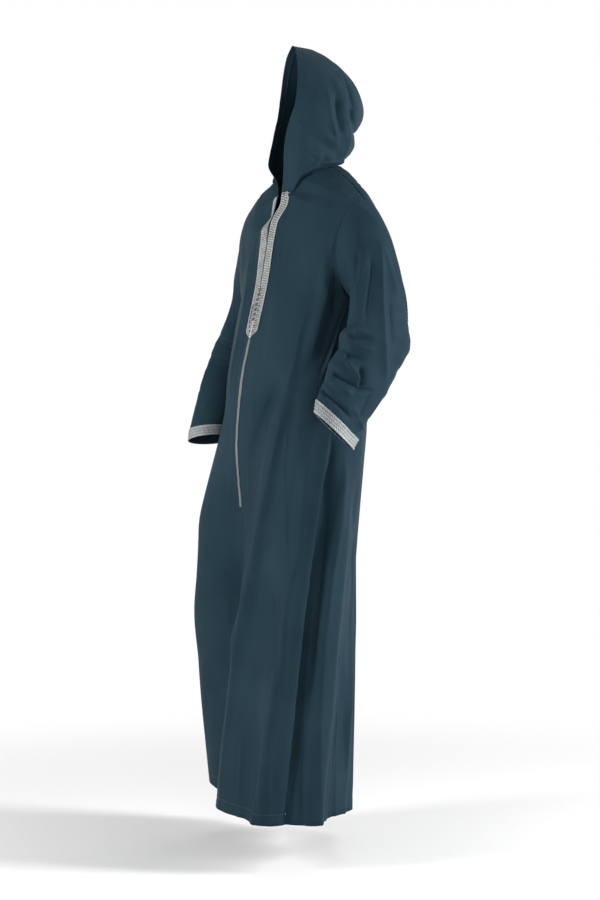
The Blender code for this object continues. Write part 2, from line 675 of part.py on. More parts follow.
def line_grid(halves):
    """Thin braid down the closed centre front, on the rows of both front panels."""
    left, right = halves[1, 1], halves[-1, 1]
    rows = row_heights()
    keys = [LINE_END] + [h for h in rows if LINE_END < h < PLACKET_TIP - 0.006] + [PLACKET_TIP - 0.006]
    out = []
    for h in keys:
        i = max(k for k in range(len(rows)) if rows[k] <= h)
        t = (h - rows[i]) / (rows[i + 1] - rows[i])
        lp = [a + (b - a) * t for a, b in zip(left[i], left[i + 1])]
        rp = [a + (b - a) * t for a, b in zip(right[i], right[i + 1])]
        fwd = unit(lp[1] - rp[1]).cross(Vector((0.0, 0.0, 1.0)))
        up = fwd * (CLOTH / 2 + TRIM / 2 + 0.0005)
        mid = (lp[0] + rp[0]) / 2
        out.append([on_row(rp, 0.0065) + up, mid + up, on_row(lp, 0.0065) + up])
    return out


def pocket_grid(panel):
    """Pocket bag inside the left front panel, from the side seam forward."""
    rows = row_heights()
    keys = [0.62] + [h for h in rows if 0.63 < h < 0.93] + [0.94]
    out = []
    for h in keys:
        i = max(k for k in range(len(rows)) if rows[k] <= h)
        t = (h - rows[i]) / (rows[i + 1] - rows[i])
        pts = [a + (b - a) * t for a, b in zip(panel[i], panel[i + 1])]
        row = []
        for j in range(COLS - 6, COLS):
            a, b = pts[j - 1], pts[j + 1]
            n = unit((b - a).cross(Vector((0.0, 0.0, 1.0))))
            row.append(pts[j] - n * (CLOTH + 0.0012))
        out.append(row)
    return out


main()
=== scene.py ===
"""Looks of the hooded djellaba: fine cloth with its folds and seams, woven braid,
stitching, materials, floor, light and camera. Metres, in the frame of the CAD model.
"""
import math
from collections import namedtuple

import bpy
import numpy as np
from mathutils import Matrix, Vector


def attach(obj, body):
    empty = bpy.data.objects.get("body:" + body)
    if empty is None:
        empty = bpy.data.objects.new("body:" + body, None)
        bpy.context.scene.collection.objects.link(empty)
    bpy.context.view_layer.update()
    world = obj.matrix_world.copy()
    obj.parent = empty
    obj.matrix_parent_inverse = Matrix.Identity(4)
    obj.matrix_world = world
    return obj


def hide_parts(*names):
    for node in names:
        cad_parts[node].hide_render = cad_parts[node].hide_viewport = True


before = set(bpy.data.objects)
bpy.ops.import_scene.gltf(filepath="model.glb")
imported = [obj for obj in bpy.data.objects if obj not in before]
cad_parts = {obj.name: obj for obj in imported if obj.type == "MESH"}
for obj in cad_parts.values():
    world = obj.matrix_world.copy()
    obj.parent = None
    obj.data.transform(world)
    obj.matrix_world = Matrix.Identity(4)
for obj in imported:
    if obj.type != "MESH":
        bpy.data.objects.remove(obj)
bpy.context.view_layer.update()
FINE = 1      # 2 halves every grid

# ---------------------------------------------------------------- main sizes, as in the CAD model

NECK = 1.55        # height of the neck base above the ground
ARMPIT = 1.262     # height where the side seam ends and the armhole starts

# Sections of the robe below the armpits: the centre, the half width, the depth to
# the front and to the back, how square it is, and how far it is turned about z.
Ring = namedtuple("Ring", "h turn cx cy half_w front back power")
RINGS = [
    Ring(0.110, -27, -0.056, -0.036, 0.258, 0.148, 0.150, 2.1),
    Ring(0.300, -23, -0.051, -0.040, 0.254, 0.128, 0.154, 2.1),
    Ring(0.574, -17, -0.040, -0.042, 0.246, 0.100, 0.156, 2.1),
    Ring(0.800, -12, -0.026, -0.036, 0.240, 0.108, 0.154, 2.1),
    Ring(0.950, -8, -0.016, -0.030, 0.238, 0.132, 0.152, 2.1),
    Ring(1.080, -4, -0.007, -0.022, 0.217, 0.138, 0.144, 2.3),
    Ring(1.200, -1, -0.001, 0.006, 0.197, 0.147, 0.120, 2.6),
    Ring(1.262, 0, 0.000, 0.020, 0.190, 0.146, 0.108, 2.8),
]

# Upper front edge of a front panel from the armpit row (w 0) to the neck: half of
# the slit's gap, depth and height.
Edge = namedtuple("Edge", "w gap y h")
FRONT_EDGE = [
    Edge(0.00, 0.0004, -0.1260, 1.262),
    Edge(0.25, 0.0004, -0.1120, 1.335),
    Edge(0.50, 0.0020, -0.0980, 1.425),
    Edge(0.60, 0.0110, -0.0920, 1.470),
    Edge(0.70, 0.0260, -0.0800, 1.516),
]
BACK_EDGE = [
    Edge(0.00, 0.0, 0.1240, 1.262),
    Edge(0.30, 0.0, 0.1400, 1.370),
    Edge(0.60, 0.0, 0.1280, 1.490),
    Edge(0.85, 0.0, 0.0760, 1.595),
]

# The neck seam from the slit (q 0) round to the nape (q 1), left half.
Neck = namedtuple("Neck", "q x y h")
NECKLINE = [
    Neck(0.0000, 0.0260, -0.0800, 1.516),
    Neck(0.1100, 0.0410, -0.0725, 1.516),
    Neck(0.2100, 0.0540, -0.0640, 1.518),
    Neck(0.3250, 0.0690, -0.0520, 1.543),
    Neck(0.4875, 0.0820, -0.0280, 1.564),
    Neck(0.6500, 0.0860, 0.0060, 1.576),
    Neck(0.8250, 0.0620, 0.0520, 1.587),
    Neck(1.0000, 0.0000, 0.0760, 1.595),
]

# Armholes: centre, half height, half depth, lean of the plane (x of its up vector).
Hole = namedtuple("Hole", "x y h half_h half_d lean")
ARMHOLE = {
    +1: Hole(0.2055, 0.020, 1.3735, 0.112, 0.060, 0.14),
    -1: Hole(-0.2155, 0.020, 1.3910, 0.131, 0.074, 0.20),
}
SHOULDER_BOW = 0.010    # how far the shoulders rise above a straight line
POWER_UP = [(0.0, 2.8), (0.25, 2.3), (0.5, 2.0), (0.7, 1.45), (1.0, 1.05)]

# Sleeves below the armhole: the outer line, the inner line, the half depth between
# front and back, and how far the front of the section is tilted up, in degrees.
Cuff = namedtuple("Cuff", "t ox oy oh ix iy ih half_d tilt")
SLEEVE = {
    +1: [
        Cuff(0.08, 0.257, 0.020, 1.442, 0.210, 0.020, 1.258, 0.061, 0),
        Cuff(0.18, 0.284, 0.022, 1.382, 0.226, 0.022, 1.245, 0.062, 1),
        Cuff(0.30, 0.306, 0.021, 1.306, 0.234, 0.021, 1.213, 0.067, 3),
        Cuff(0.42, 0.323, 0.018, 1.235, 0.237, 0.016, 1.178, 0.074, 7),
        Cuff(0.52, 0.336, 0.010, 1.180, 0.240, 0.008, 1.160, 0.083, 13),
        Cuff(0.66, 0.337, -0.032, 1.098, 0.241, -0.024, 1.102, 0.076, 24),
        Cuff(0.80, 0.333, -0.074, 1.036, 0.241, -0.058, 1.044, 0.069, 37),
        Cuff(0.94, 0.330, -0.106, 0.988, 0.240, -0.072, 1.000, 0.065, 40),
        Cuff(1.00, 0.330, -0.114, 0.964, 0.240, -0.080, 0.976, 0.061, 40),
    ],
    -1: [
        Cuff(0.08, -0.270, 0.020, 1.460, -0.210, 0.020, 1.258, 0.071, 0),
        Cuff(0.18, -0.293, 0.020, 1.396, -0.227, 0.020, 1.244, 0.068, 1),
        Cuff(0.30, -0.307, 0.016, 1.316, -0.232, 0.016, 1.212, 0.068, 3),
        Cuff(0.42, -0.318, 0.002, 1.240, -0.235, 0.002, 1.180, 0.072, 7),
        Cuff(0.52, -0.330, -0.014, 1.180, -0.239, -0.014, 1.150, 0.075, 12),
        Cuff(0.66, -0.334, -0.044, 1.100, -0.242, -0.044, 1.104, 0.072, 12),
        Cuff(0.80, -0.336, -0.071, 1.030, -0.244, -0.071, 1.042, 0.066, 7),
        Cuff(0.94, -0.336, -0.091, 0.968, -0.246, -0.091, 0.990, 0.060, 2),
        Cuff(1.00, -0.334, -0.096, 0.944, -0.248, -0.096, 0.968, 0.058, 0),
    ],
}

# Folds of the sleeves: share of the way down and angle round (0 front, 90 outer, -90
# inner side) at both ends, half width as a share of the way, depth.
ArmFold = namedtuple("ArmFold", "t0 a0 t1 a1 width depth")
ARM_FOLDS = {
    +1: [
        ArmFold(0.47, -50, 0.49, 60, 0.030, -0.010),
        ArmFold(0.54, -70, 0.55, 50, 0.028, 0.007),
        ArmFold(0.61, -60, 0.62, 70, 0.030, -0.011),
        ArmFold(0.70, -40, 0.72, 60, 0.030, 0.006),
        ArmFold(0.80, -30, 0.84, 60, 0.030, -0.006),
        ArmFold(0.30, 150, 0.46, 190, 0.030, 0.006),
    ],
    -1: [
        ArmFold(0.48, -70, 0.50, 20, 0.030, -0.007),
        ArmFold(0.55, -60, 0.55, 30, 0.028, 0.004),
        ArmFold(0.61, -60, 0.63, 20, 0.030, -0.007),
        ArmFold(0.76, -40, 0.80, 50, 0.030, -0.004),
        ArmFold(0.28, 150, 0.44, 200, 0.030, 0.006),
    ],
}

# Hood, left half before it is turned to one side: the front edge, the top
# seam and the back seam (with its fold above the nape), all in the profile plane.
Face = namedtuple("Face", "v x y h")
FACE_EDGE = [
    Face(0.00, 0.0260, -0.0800, 1.516),
    Face(0.10, 0.0390, -0.0770, 1.556),
    Face(0.22, 0.0550, -0.0710, 1.606),
    Face(0.36, 0.0760, -0.0600, 1.660),
    Face(0.52, 0.0900, -0.0460, 1.712),
    Face(0.68, 0.0880, -0.0400, 1.762),
    Face(0.82, 0.0720, -0.0380, 1.808),
    Face(0.93, 0.0440, -0.0360, 1.844),
    Face(1.00, 0.0000, -0.0330, 1.862),
]
Seam = namedtuple("Seam", "s y h")
TOP_SEAM = [
    Seam(0.00, -0.0330, 1.862),
    Seam(0.25, 0.0130, 1.855),
    Seam(0.50, 0.0570, 1.834),
    Seam(0.75, 0.0980, 1.798),
    Seam(1.00, 0.1270, 1.746),
]
BACK_SEAM = [
    Seam(0.00, 0.0760, 1.595),
    Seam(0.14, 0.1000, 1.610),
    Seam(0.28, 0.1120, 1.630),
    Seam(0.40, 0.1115, 1.648),
    Seam(0.50, 0.1085, 1.661),
    Seam(0.60, 0.1190, 1.672),
    Seam(0.74, 0.1310, 1.694),
    Seam(0.88, 0.1340, 1.718),
    Seam(1.00, 0.1270, 1.746),
]
HOOD_TURN = -17.0

# Folds of the body: angle round the robe (0 centre front, 90 the left side,
# 180 back) at the lower and the upper end, the ends' heights, the half width in
# degrees below and above, depth out of the cloth below and above (less than 0 is a
# trough), and the length over which each end fades.
Fold = namedtuple("Fold", "a0 a1 h0 h1 w0 w1 d0 d1 fade0 fade1")
FOLDS = [
    Fold(-41, -34, 0.10, 0.64, 20, 21, 0.050, 0.104, 0.00, 0.22),     # forward swell, low
    Fold(-34, -36, 0.42, 1.06, 21, 22, 0.106, 0.064, 0.22, 0.32),     # forward swell, middle
    Fold(10, 14, 0.10, 0.60, 7, 7, 0.004, 0.020, 0.00, 0.12),         # near front ridge
    Fold(13, 50, 0.42, 1.14, 8, 6, 0.020, 0.010, 0.14, 0.14),         # its way up the side
    Fold(-9, -4, 0.10, 0.86, 8, 8, -0.022, -0.075, 0.00, 0.45),       # deep valley beside it
    Fold(15, 42, 0.88, 1.12, 6, 6, -0.008, -0.007, 0.08, 0.08),
    Fold(43, 42, 0.10, 0.74, 15, 12, -0.022, -0.010, 0.00, 0.30),
    Fold(66, 72, 0.10, 0.80, 7, 7, 0.014, 0.008, 0.00, 0.25),
    Fold(92, 96, 0.10, 0.92, 7, 6, -0.016, -0.010, 0.00, 0.20),       # beside the side seam
    Fold(112, 116, 0.10, 0.90, 9, 8, 0.018, 0.008, 0.00, 0.25),
    Fold(138, 140, 0.10, 0.85, 8, 8, -0.018, -0.006, 0.00, 0.30),
    Fold(162, 164, 0.10, 0.80, 10, 9, 0.018, 0.006, 0.00, 0.30),
    Fold(188, 190, 0.10, 0.80, 8, 8, -0.018, -0.006, 0.00, 0.30),
    Fold(214, 214, 0.10, 0.90, 10, 9, 0.020, 0.006, 0.00, 0.30),
    Fold(240, 240, 0.10, 0.80, 8, 8, -0.018, -0.006, 0.00, 0.25),
    Fold(264, 262, 0.10, 0.90, 9, 8, 0.018, 0.010, 0.00, 0.25),
    Fold(288, 290, 0.10, 0.80, 8, 8, -0.016, -0.006, 0.00, 0.25),
    Fold(78, 80, 0.86, 1.10, 16, 14, -0.012, -0.012, 0.10, 0.10),     # flatter beside the cuff
    Fold(57, 72, 1.08, 1.38, 6, 6, 0.007, 0.006, 0.08, 0.10),         # small folds up to the armpit
    Fold(70, 78, 1.10, 1.32, 5, 5, -0.008, -0.007, 0.08, 0.08),
    Fold(-48, -66, 1.02, 1.36, 7, 6, 0.008, 0.006, 0.10, 0.10),
    Fold(-66, -74, 1.06, 1.30, 6, 5, -0.008, -0.006, 0.08, 0.08),
    Fold(128, 112, 1.00, 1.36, 7, 6, 0.009, 0.007, 0.12, 0.10),       # back, below the shoulders
    Fold(148, 136, 0.96, 1.36, 8, 7, -0.008, -0.006, 0.14, 0.12),
    Fold(206, 226, 0.98, 1.38, 8, 7, 0.009, 0.006, 0.14, 0.12),
    Fold(228, 242, 1.00, 1.36, 7, 6, -0.008, -0.006, 0.12, 0.10),
]

HEM_LIFT = (-33, 34, 0.022)     # the forward swell lifts the hem: angle, width, lift


HoodFold = namedtuple("HoodFold", "y0 h0 y1 h1 width depth")
HOOD_FOLDS = [
    HoodFold(0.060, 1.815, 0.104, 1.705, 0.010, 0.006),
    HoodFold(0.045, 1.775, 0.075, 1.640, 0.010, 0.005),
    HoodFold(0.068, 1.775, 0.090, 1.668, 0.010, -0.007),
    HoodFold(0.104, 1.664, 0.030, 1.640, 0.012, -0.007),
    HoodFold(-0.020, 1.640, 0.050, 1.590, 0.014, -0.004),
    HoodFold(-0.040, 1.600, 0.030, 1.565, 0.014, 0.004),
]

# Creases laid over the main folds, as seen across the three-quarter view from the
# robe's front left: how far across and how far above the ground, point by point, the
# half width on the two sides of the line, the depth (less than 0 is a trough), and
# how much of the length fades at each end.
Crease = namedtuple("Crease", "on path left right depth fade0 fade1")
CREASES = [
    Crease("body", ((0.059, 1.338), (0.037, 1.242), (0.019, 1.171), (0.010, 1.114)), 0.018, 0.013, 0.0078, 0.3, 0.3),
    Crease("body", ((0.067, 1.342), (0.063, 1.259), (0.059, 1.211)), 0.007, 0.009, -0.0078, 0.3, 0.3),
    Crease("body", ((0.010, 1.259), (-0.012, 1.189), (-0.025, 1.114), (-0.051, 1.048)), 0.016, 0.012, 0.0065, 0.4, 0.2),
    Crease("body", ((-0.056, 1.084), (-0.078, 1.040), (-0.113, 0.961), (-0.126, 0.908)), 0.014, 0.012, -0.0072, 0.3, 0.3),
    Crease("body", ((-0.034, 1.048), (-0.056, 0.996), (-0.069, 0.939), (-0.102, 0.776), (-0.119, 0.667), (-0.146, 0.531)), 0.013, 0.018, 0.0084, 0.2, 0.2),
    Crease("body", ((-0.113, 0.816), (-0.129, 0.689), (-0.143, 0.579), (-0.159, 0.487), (-0.173, 0.366), (-0.189, 0.213), (-0.200, 0.080)), 0.009, 0.012, 0.0050, 0.2, 0.0),
    Crease("body", ((-0.121, 1.417), (-0.128, 1.378), (-0.139, 1.277), (-0.157, 1.171), (-0.170, 1.101), (-0.178, 0.996)), 0.008, 0.006, 0.0059, 0.2, 0.3),
    Crease("body", ((-0.108, 1.390), (-0.120, 1.300), (-0.140, 1.190), (-0.155, 1.100)), 0.008, 0.008, -0.0039, 0.3, 0.3),
    Crease("body", ((0.094, 1.408), (0.080, 1.369), (0.069, 1.329)), 0.006, 0.006, -0.0059, 0.2, 0.3),
    Crease("body", ((0.078, 1.400), (0.067, 1.356)), 0.005, 0.004, -0.0046, 0.3, 0.3),
    Crease("body", ((0.070, 1.420), (0.052, 1.350)), 0.008, 0.008, 0.0033, 0.3, 0.4),
    Crease("body", ((0.089, 1.316), (0.076, 1.285), (0.067, 1.259)), 0.005, 0.005, -0.0059, 0.2, 0.3),
    Crease("body", ((0.102, 1.259), (0.080, 1.206), (0.059, 1.127), (0.032, 1.070)), 0.006, 0.004, -0.0078, 0.1, 0.3),
    Crease("body", ((0.089, 1.259), (0.067, 1.198), (0.045, 1.136), (0.021, 1.075)), 0.005, 0.005, -0.0052, 0.1, 0.4),
    Crease("body", ((0.094, 1.250), (0.073, 1.200), (0.051, 1.130), (0.026, 1.070)), 0.004, 0.005, 0.0046, 0.1, 0.4),
    Crease("body", ((-0.074, 0.640), (-0.067, 0.502), (-0.067, 0.392)), 0.006, 0.008, -0.0050, 0.3, 0.3),
    Crease("body", ((-0.050, 0.660), (-0.044, 0.520), (-0.052, 0.350)), 0.012, 0.010, 0.0035, 0.3, 0.4),
    Crease("body", ((-0.030, 0.680), (-0.038, 0.601), (-0.058, 0.502)), 0.009, 0.011, 0.0050, 0.3, 0.3),
    Crease("body", ((0.028, 0.420), (0.030, 0.283), (0.030, 0.080)), 0.010, 0.010, 0.0060, 0.4, 0.0),
    Crease("body", ((-0.008, 0.360), (-0.010, 0.230), (-0.006, 0.080)), 0.009, 0.009, -0.0050, 0.4, 0.0),
    Crease("body", ((-0.110, 0.430), (-0.112, 0.280), (-0.116, 0.080)), 0.010, 0.013, -0.0060, 0.4, 0.0),
    Crease("body", ((-0.085, 0.330), (-0.083, 0.200), (-0.080, 0.080)), 0.012, 0.010, 0.0050, 0.4, 0.0),
    Crease("body", ((-0.140, 0.330), (-0.147, 0.200), (-0.150, 0.080)), 0.008, 0.008, 0.0040, 0.4, 0.0),
    Crease("body", ((0.080, 0.930), (0.074, 0.776), (0.052, 0.645), (0.035, 0.502), (0.026, 0.228)), 0.015, 0.020, 0.0110, 0.1, 0.3),
    Crease("body", ((0.052, 0.900), (0.044, 0.776), (0.030, 0.645), (0.017, 0.502), (0.004, 0.330)), 0.011, 0.010, -0.0105, 0.1, 0.3),
    Crease("body", ((0.109, 0.886), (0.105, 0.612), (0.094, 0.382)), 0.010, 0.007, -0.0060, 0.2, 0.3),
    Crease("body", ((0.085, 0.420), (0.088, 0.260), (0.092, 0.080)), 0.010, 0.010, -0.0060, 0.4, 0.0),
    Crease("body", ((0.065, 0.480), (0.063, 0.300), (0.062, 0.080)), 0.012, 0.012, 0.0055, 0.4, 0.0),
    Crease("body", ((-0.020, 0.930), (-0.035, 0.800), (-0.050, 0.640)), 0.012, 0.014, -0.0035, 0.3, 0.3),
    Crease("body", ((0.005, 0.950), (-0.006, 0.800), (-0.022, 0.640)), 0.014, 0.014, 0.0035, 0.3, 0.3),
    Crease("body", ((-0.060, 1.330), (-0.075, 1.240), (-0.090, 1.130)), 0.018, 0.016, 0.0026, 0.4, 0.4),
    Crease("sleeve_left", ((0.160, 1.400), (0.163, 1.330), (0.164, 1.231), (0.168, 1.150), (0.171, 1.065)), 0.011, 0.008, 0.0080, 0.25, 0.15),
    Crease("sleeve_left", ((0.145, 1.400), (0.170, 1.362), (0.187, 1.307), (0.200, 1.248)), 0.009, 0.008, 0.0045, 0.3, 0.2),
    Crease("sleeve_left", ((0.128, 1.375), (0.124, 1.333), (0.111, 1.282), (0.103, 1.239)), 0.008, 0.008, 0.0050, 0.3, 0.3),
    Crease("sleeve_left", ((0.141, 1.364), (0.139, 1.301), (0.130, 1.237), (0.124, 1.190)), 0.007, 0.008, -0.0055, 0.3, 0.3),
    Crease("sleeve_left", ((0.112, 1.370), (0.108, 1.320), (0.100, 1.270)), 0.006, 0.006, -0.0040, 0.3, 0.3),
    Crease("sleeve_left", ((0.178, 1.280), (0.180, 1.210), (0.183, 1.130)), 0.008, 0.008, -0.0040, 0.4, 0.4),
    Crease("sleeve_left", ((0.086, 1.176), (0.112, 1.172), (0.148, 1.163)), 0.0075, 0.0060, -0.0115, 0.2, 0.4),
    Crease("sleeve_left", ((0.083, 1.153), (0.115, 1.149), (0.152, 1.144)), 0.0060, 0.0060, 0.0080, 0.2, 0.4),
    Crease("sleeve_left", ((0.078, 1.134), (0.105, 1.131), (0.133, 1.124)), 0.0072, 0.0072, -0.0120, 0.1, 0.4),
    Crease("sleeve_left", ((0.082, 1.124), (0.100, 1.098), (0.118, 1.072)), 0.0060, 0.0050, 0.0085, 0.2, 0.2),
    Crease("sleeve_left", ((0.112, 1.112), (0.117, 1.090), (0.116, 1.064)), 0.0052, 0.0065, -0.0100, 0.3, 0.1),
    Crease("sleeve_left", ((0.054, 1.096), (0.082, 1.079), (0.110, 1.062), (0.150, 1.052)), 0.0050, 0.0055, -0.0120, 0.1, 0.4),
    Crease("sleeve_left", ((0.050, 1.078), (0.075, 1.060), (0.102, 1.045)), 0.0060, 0.0060, 0.0070, 0.2, 0.3),
    Crease("sleeve_left", ((0.023, 1.066), (0.045, 1.046), (0.078, 1.018), (0.098, 0.990)), 0.0048, 0.0055, -0.0100, 0.1, 0.3),
    Crease("sleeve_left", ((0.100, 1.022), (0.114, 0.992), (0.122, 0.966)), 0.0060, 0.0055, 0.0050, 0.3, 0.2),
    Crease("sleeve_left", ((0.140, 1.060), (0.122, 1.020), (0.108, 0.985)), 0.0067, 0.0053, -0.0045, 0.3, 0.2),
    Crease("sleeve_left", ((0.165, 1.180), (0.150, 1.172), (0.130, 1.176), (0.100, 1.190)), 0.008, 0.008, 0.0050, 0.4, 0.1),
    Crease("body", ((0.060, 1.515), (0.085, 1.497), (0.100, 1.482)), 0.008, 0.008, 0.0033, 0.3, 0.1),
    Crease("sleeve_left", ((0.101, 1.481), (0.128, 1.458), (0.153, 1.430), (0.170, 1.396)), 0.009, 0.008, 0.0030, 0.1, 0.4),
    Crease("hood_left", ((0.051, 1.800), (0.073, 1.783), (0.083, 1.758), (0.086, 1.720), (0.092, 1.680), (0.101, 1.654)), 0.006, 0.009, 0.0058, 0.2, 0.2),
    Crease("hood_left", ((0.041, 1.761), (0.051, 1.720), (0.057, 1.680), (0.067, 1.641), (0.072, 1.606)), 0.009, 0.007, 0.0058, 0.3, 0.3),
    Crease("hood_left", ((0.063, 1.733), (0.070, 1.688), (0.079, 1.641)), 0.008, 0.007, -0.0080, 0.3, 0.3),
    Crease("hood_left", ((0.099, 1.709), (0.104, 1.672)), 0.006, 0.006, -0.0065, 0.3, 0.3),
    Crease("hood_left", ((-0.014, 1.612), (0.036, 1.575)), 0.008, 0.010, -0.0036, 0.3, 0.3),
    Crease("hood_left", ((-0.021, 1.677), (0.022, 1.659)), 0.009, 0.009, -0.0029, 0.4, 0.4),
    Crease("hood_left", ((0.052, 1.600), (0.018, 1.562)), 0.007, 0.008, -0.0043, 0.3, 0.3),
]

# Outline of the pocket bag pressed through the left front.
BAG_PRINT = Crease("body", ((-0.003, 0.965), (-0.042, 0.967), (-0.049, 0.886), (-0.045, 0.733), (-0.040, 0.649), (-0.005, 0.640)), 0.0035, 0.0030, 0.0022, 0.1, 0.1)

# Ripples on the sides that the view doesn't reach: as the folds, in degrees round.
Ripple = namedtuple("Ripple", "a0 a1 h0 h1 w0 w1 depth fade0 fade1")
RIPPLES = [
    Ripple(98, 100, 0.10, 0.96, 3.0, 2.4, -0.0030, 0.00, 0.20),
    Ripple(106, 101, 0.30, 1.12, 4.0, 3.2, 0.0030, 0.20, 0.20),
    Ripple(119, 124, 0.10, 0.62, 3.4, 2.4, -0.0035, 0.00, 0.25),
    Ripple(131, 126, 0.10, 0.88, 3.6, 3.0, 0.0035, 0.00, 0.30),
    Ripple(146, 150, 0.10, 0.54, 3.4, 2.4, 0.0060, 0.00, 0.20),
    Ripple(155, 152, 0.22, 1.02, 3.2, 2.6, -0.0050, 0.20, 0.25),
    Ripple(171, 176, 0.10, 0.72, 3.8, 2.8, -0.0045, 0.00, 0.30),
    Ripple(179, 183, 0.30, 1.16, 4.0, 3.0, 0.0040, 0.25, 0.30),
    Ripple(197, 192, 0.10, 0.60, 3.2, 2.4, 0.0055, 0.00, 0.25),
    Ripple(204, 207, 0.18, 0.96, 3.0, 2.6, -0.0050, 0.15, 0.30),
    Ripple(223, 219, 0.10, 0.80, 3.4, 2.4, -0.0055, 0.00, 0.30),
    Ripple(231, 236, 0.10, 0.58, 3.2, 2.2, 0.0060, 0.00, 0.20),
    Ripple(247, 244, 0.26, 1.10, 3.0, 2.2, 0.0050, 0.20, 0.25),
    Ripple(255, 258, 0.10, 0.74, 2.8, 2.2, -0.0060, 0.00, 0.25),
    Ripple(274, 270, 0.10, 0.66, 2.8, 2.0, 0.0055, 0.00, 0.20),
    Ripple(281, 284, 0.20, 0.98, 3.0, 2.4, -0.0050, 0.15, 0.25),
    Ripple(297, 293, 0.10, 0.58, 3.0, 2.4, -0.0050, 0.00, 0.20),
    Ripple(306, 302, 0.34, 1.10, 3.2, 2.4, 0.0040, 0.20, 0.25),
    Ripple(142, 128, 1.02, 1.40, 3.4, 2.6, 0.0045, 0.12, 0.12),
    Ripple(136, 120, 1.08, 1.36, 2.6, 2.2, -0.0045, 0.10, 0.12),
    Ripple(168, 160, 1.10, 1.46, 4.0, 3.4, 0.0030, 0.15, 0.15),
    Ripple(214, 230, 1.04, 1.38, 3.0, 2.4, 0.0045, 0.12, 0.12),
    Ripple(222, 238, 1.00, 1.34, 2.6, 2.2, -0.0045, 0.12, 0.12),
    Ripple(194, 200, 1.12, 1.46, 4.0, 3.4, -0.0028, 0.15, 0.15),
]

# Rounds and drags of the sleeves: share of the way down and degrees round at both
# ends, half width as a share of the way, depth.
DRAGS = {
    +1: [
        ArmFold(0.12, 120, 0.40, 165, 0.020, 0.0045),
        ArmFold(0.20, 110, 0.48, 150, 0.018, -0.0045),
        ArmFold(0.45, 120, 0.50, 220, 0.014, -0.0050),
        ArmFold(0.52, 110, 0.56, 230, 0.014, 0.0050),
        ArmFold(0.60, 120, 0.62, 220, 0.013, -0.0055),
        ArmFold(0.68, 130, 0.72, 220, 0.014, 0.0040),
        ArmFold(0.82, 140, 0.78, 220, 0.014, -0.0035),
    ],
    -1: [
        ArmFold(0.14, 30, 0.34, -20, 0.018, 0.0040),
        ArmFold(0.20, 60, 0.44, 10, 0.018, -0.0045),
        ArmFold(0.10, 120, 0.38, 165, 0.020, 0.0045),
        ArmFold(0.18, 105, 0.44, 150, 0.018, -0.0045),
        ArmFold(0.45, -60, 0.47, 50, 0.013, -0.0055),
        ArmFold(0.51, -50, 0.51, 60, 0.013, 0.0050),
        ArmFold(0.57, -60, 0.58, 60, 0.013, -0.0060),
        ArmFold(0.63, -40, 0.66, 60, 0.014, 0.0040),
        ArmFold(0.72, -50, 0.74, 40, 0.013, -0.0045),
        ArmFold(0.46, 110, 0.50, 220, 0.014, -0.0045),
        ArmFold(0.55, 120, 0.58, 230, 0.014, 0.0045),
        ArmFold(0.64, 120, 0.66, 220, 0.013, -0.0045),
        ArmFold(0.84, 20, 0.80, 110, 0.014, -0.0035),
    ],
}

VIEW = np.array([0.866, -0.5, 0.0])       # from the robe to the three-quarter view
ACROSS = np.array([0.5, 0.866, 0.0])      # to the right in that view

# ---------------------------------------------------------------- reading tables


def ease(t):
    t = np.clip(t, 0.0, 1.0)
    return t * t * (3 - 2 * t)


def unit(v):
    return v / np.maximum(np.linalg.norm(v, axis=-1, keepdims=True), 1e-9)


def look(rows, x, soft=True):
    """Values of a table at every x, one array a column."""
    t = np.array([tuple(r) for r in rows], float)
    x = np.clip(np.asarray(x, float), t[0, 0], t[-1, 0])
    i = np.clip(np.searchsorted(t[:, 0], x, side="right") - 1, 0, len(t) - 2)
    a, b = t[i], t[i + 1]
    h = (b[..., 0] - a[..., 0])[..., None]
    k = (x - a[..., 0])[..., None] / h
    if not soft:
        return np.moveaxis(a + (b - a) * k, -1, 0)[1:]
    before, after = t[np.maximum(i - 1, 0)], t[np.minimum(i + 2, len(t) - 1)]
    ma = (b - before) / (b[..., :1] - before[..., :1]) * h
    mb = (after - a) / (after[..., :1] - a[..., :1]) * h
    out = ((2 * k ** 3 - 3 * k ** 2 + 1) * a + (k ** 3 - 2 * k ** 2 + k) * ma
           + (3 * k ** 2 - 2 * k ** 3) * b + (k ** 3 - k ** 2) * mb)
    return np.moveaxis(out, -1, 0)[1:]


def wrap(a):
    return (a + 180.0) % 360.0 - 180.0


def noise(x, y, cell_x, cell_y, seed):
    """Soft uneven swell between -1 and 1 over a plane, the same at every run."""
    table = np.random.RandomState(seed).rand(97, 89) * 2 - 1
    gx, gy = x / cell_x, y / cell_y
    ix, iy = np.floor(gx).astype(int), np.floor(gy).astype(int)
    fx, fy = ease(gx - ix), ease(gy - iy)
    a = table[ix % 97, iy % 89] * (1 - fx) + table[(ix + 1) % 97, iy % 89] * fx
    b = table[ix % 97, (iy + 1) % 89] * (1 - fx) + table[(ix + 1) % 97, (iy + 1) % 89] * fx
    return a * (1 - fy) + b * fy


# ---------------------------------------------------------------- the robe's surface


def fold_depth(angle, h):
    total = np.zeros(np.broadcast(angle, h).shape)
    for f in FOLDS:
        t = np.clip((h - f.h0) / (f.h1 - f.h0), 0.0, 1.0)
        off = wrap(angle - (f.a0 + (f.a1 - f.a0) * t))
        width = f.w0 + (f.w1 - f.w0) * t
        start = ease((h - f.h0) / f.fade0) if f.fade0 else 1.0
        size = (f.d0 + (f.d1 - f.d0) * t) * ease((f.h1 - h) / f.fade1) * start
        total = total + size * np.exp(-(off / width) ** 2)
    return total


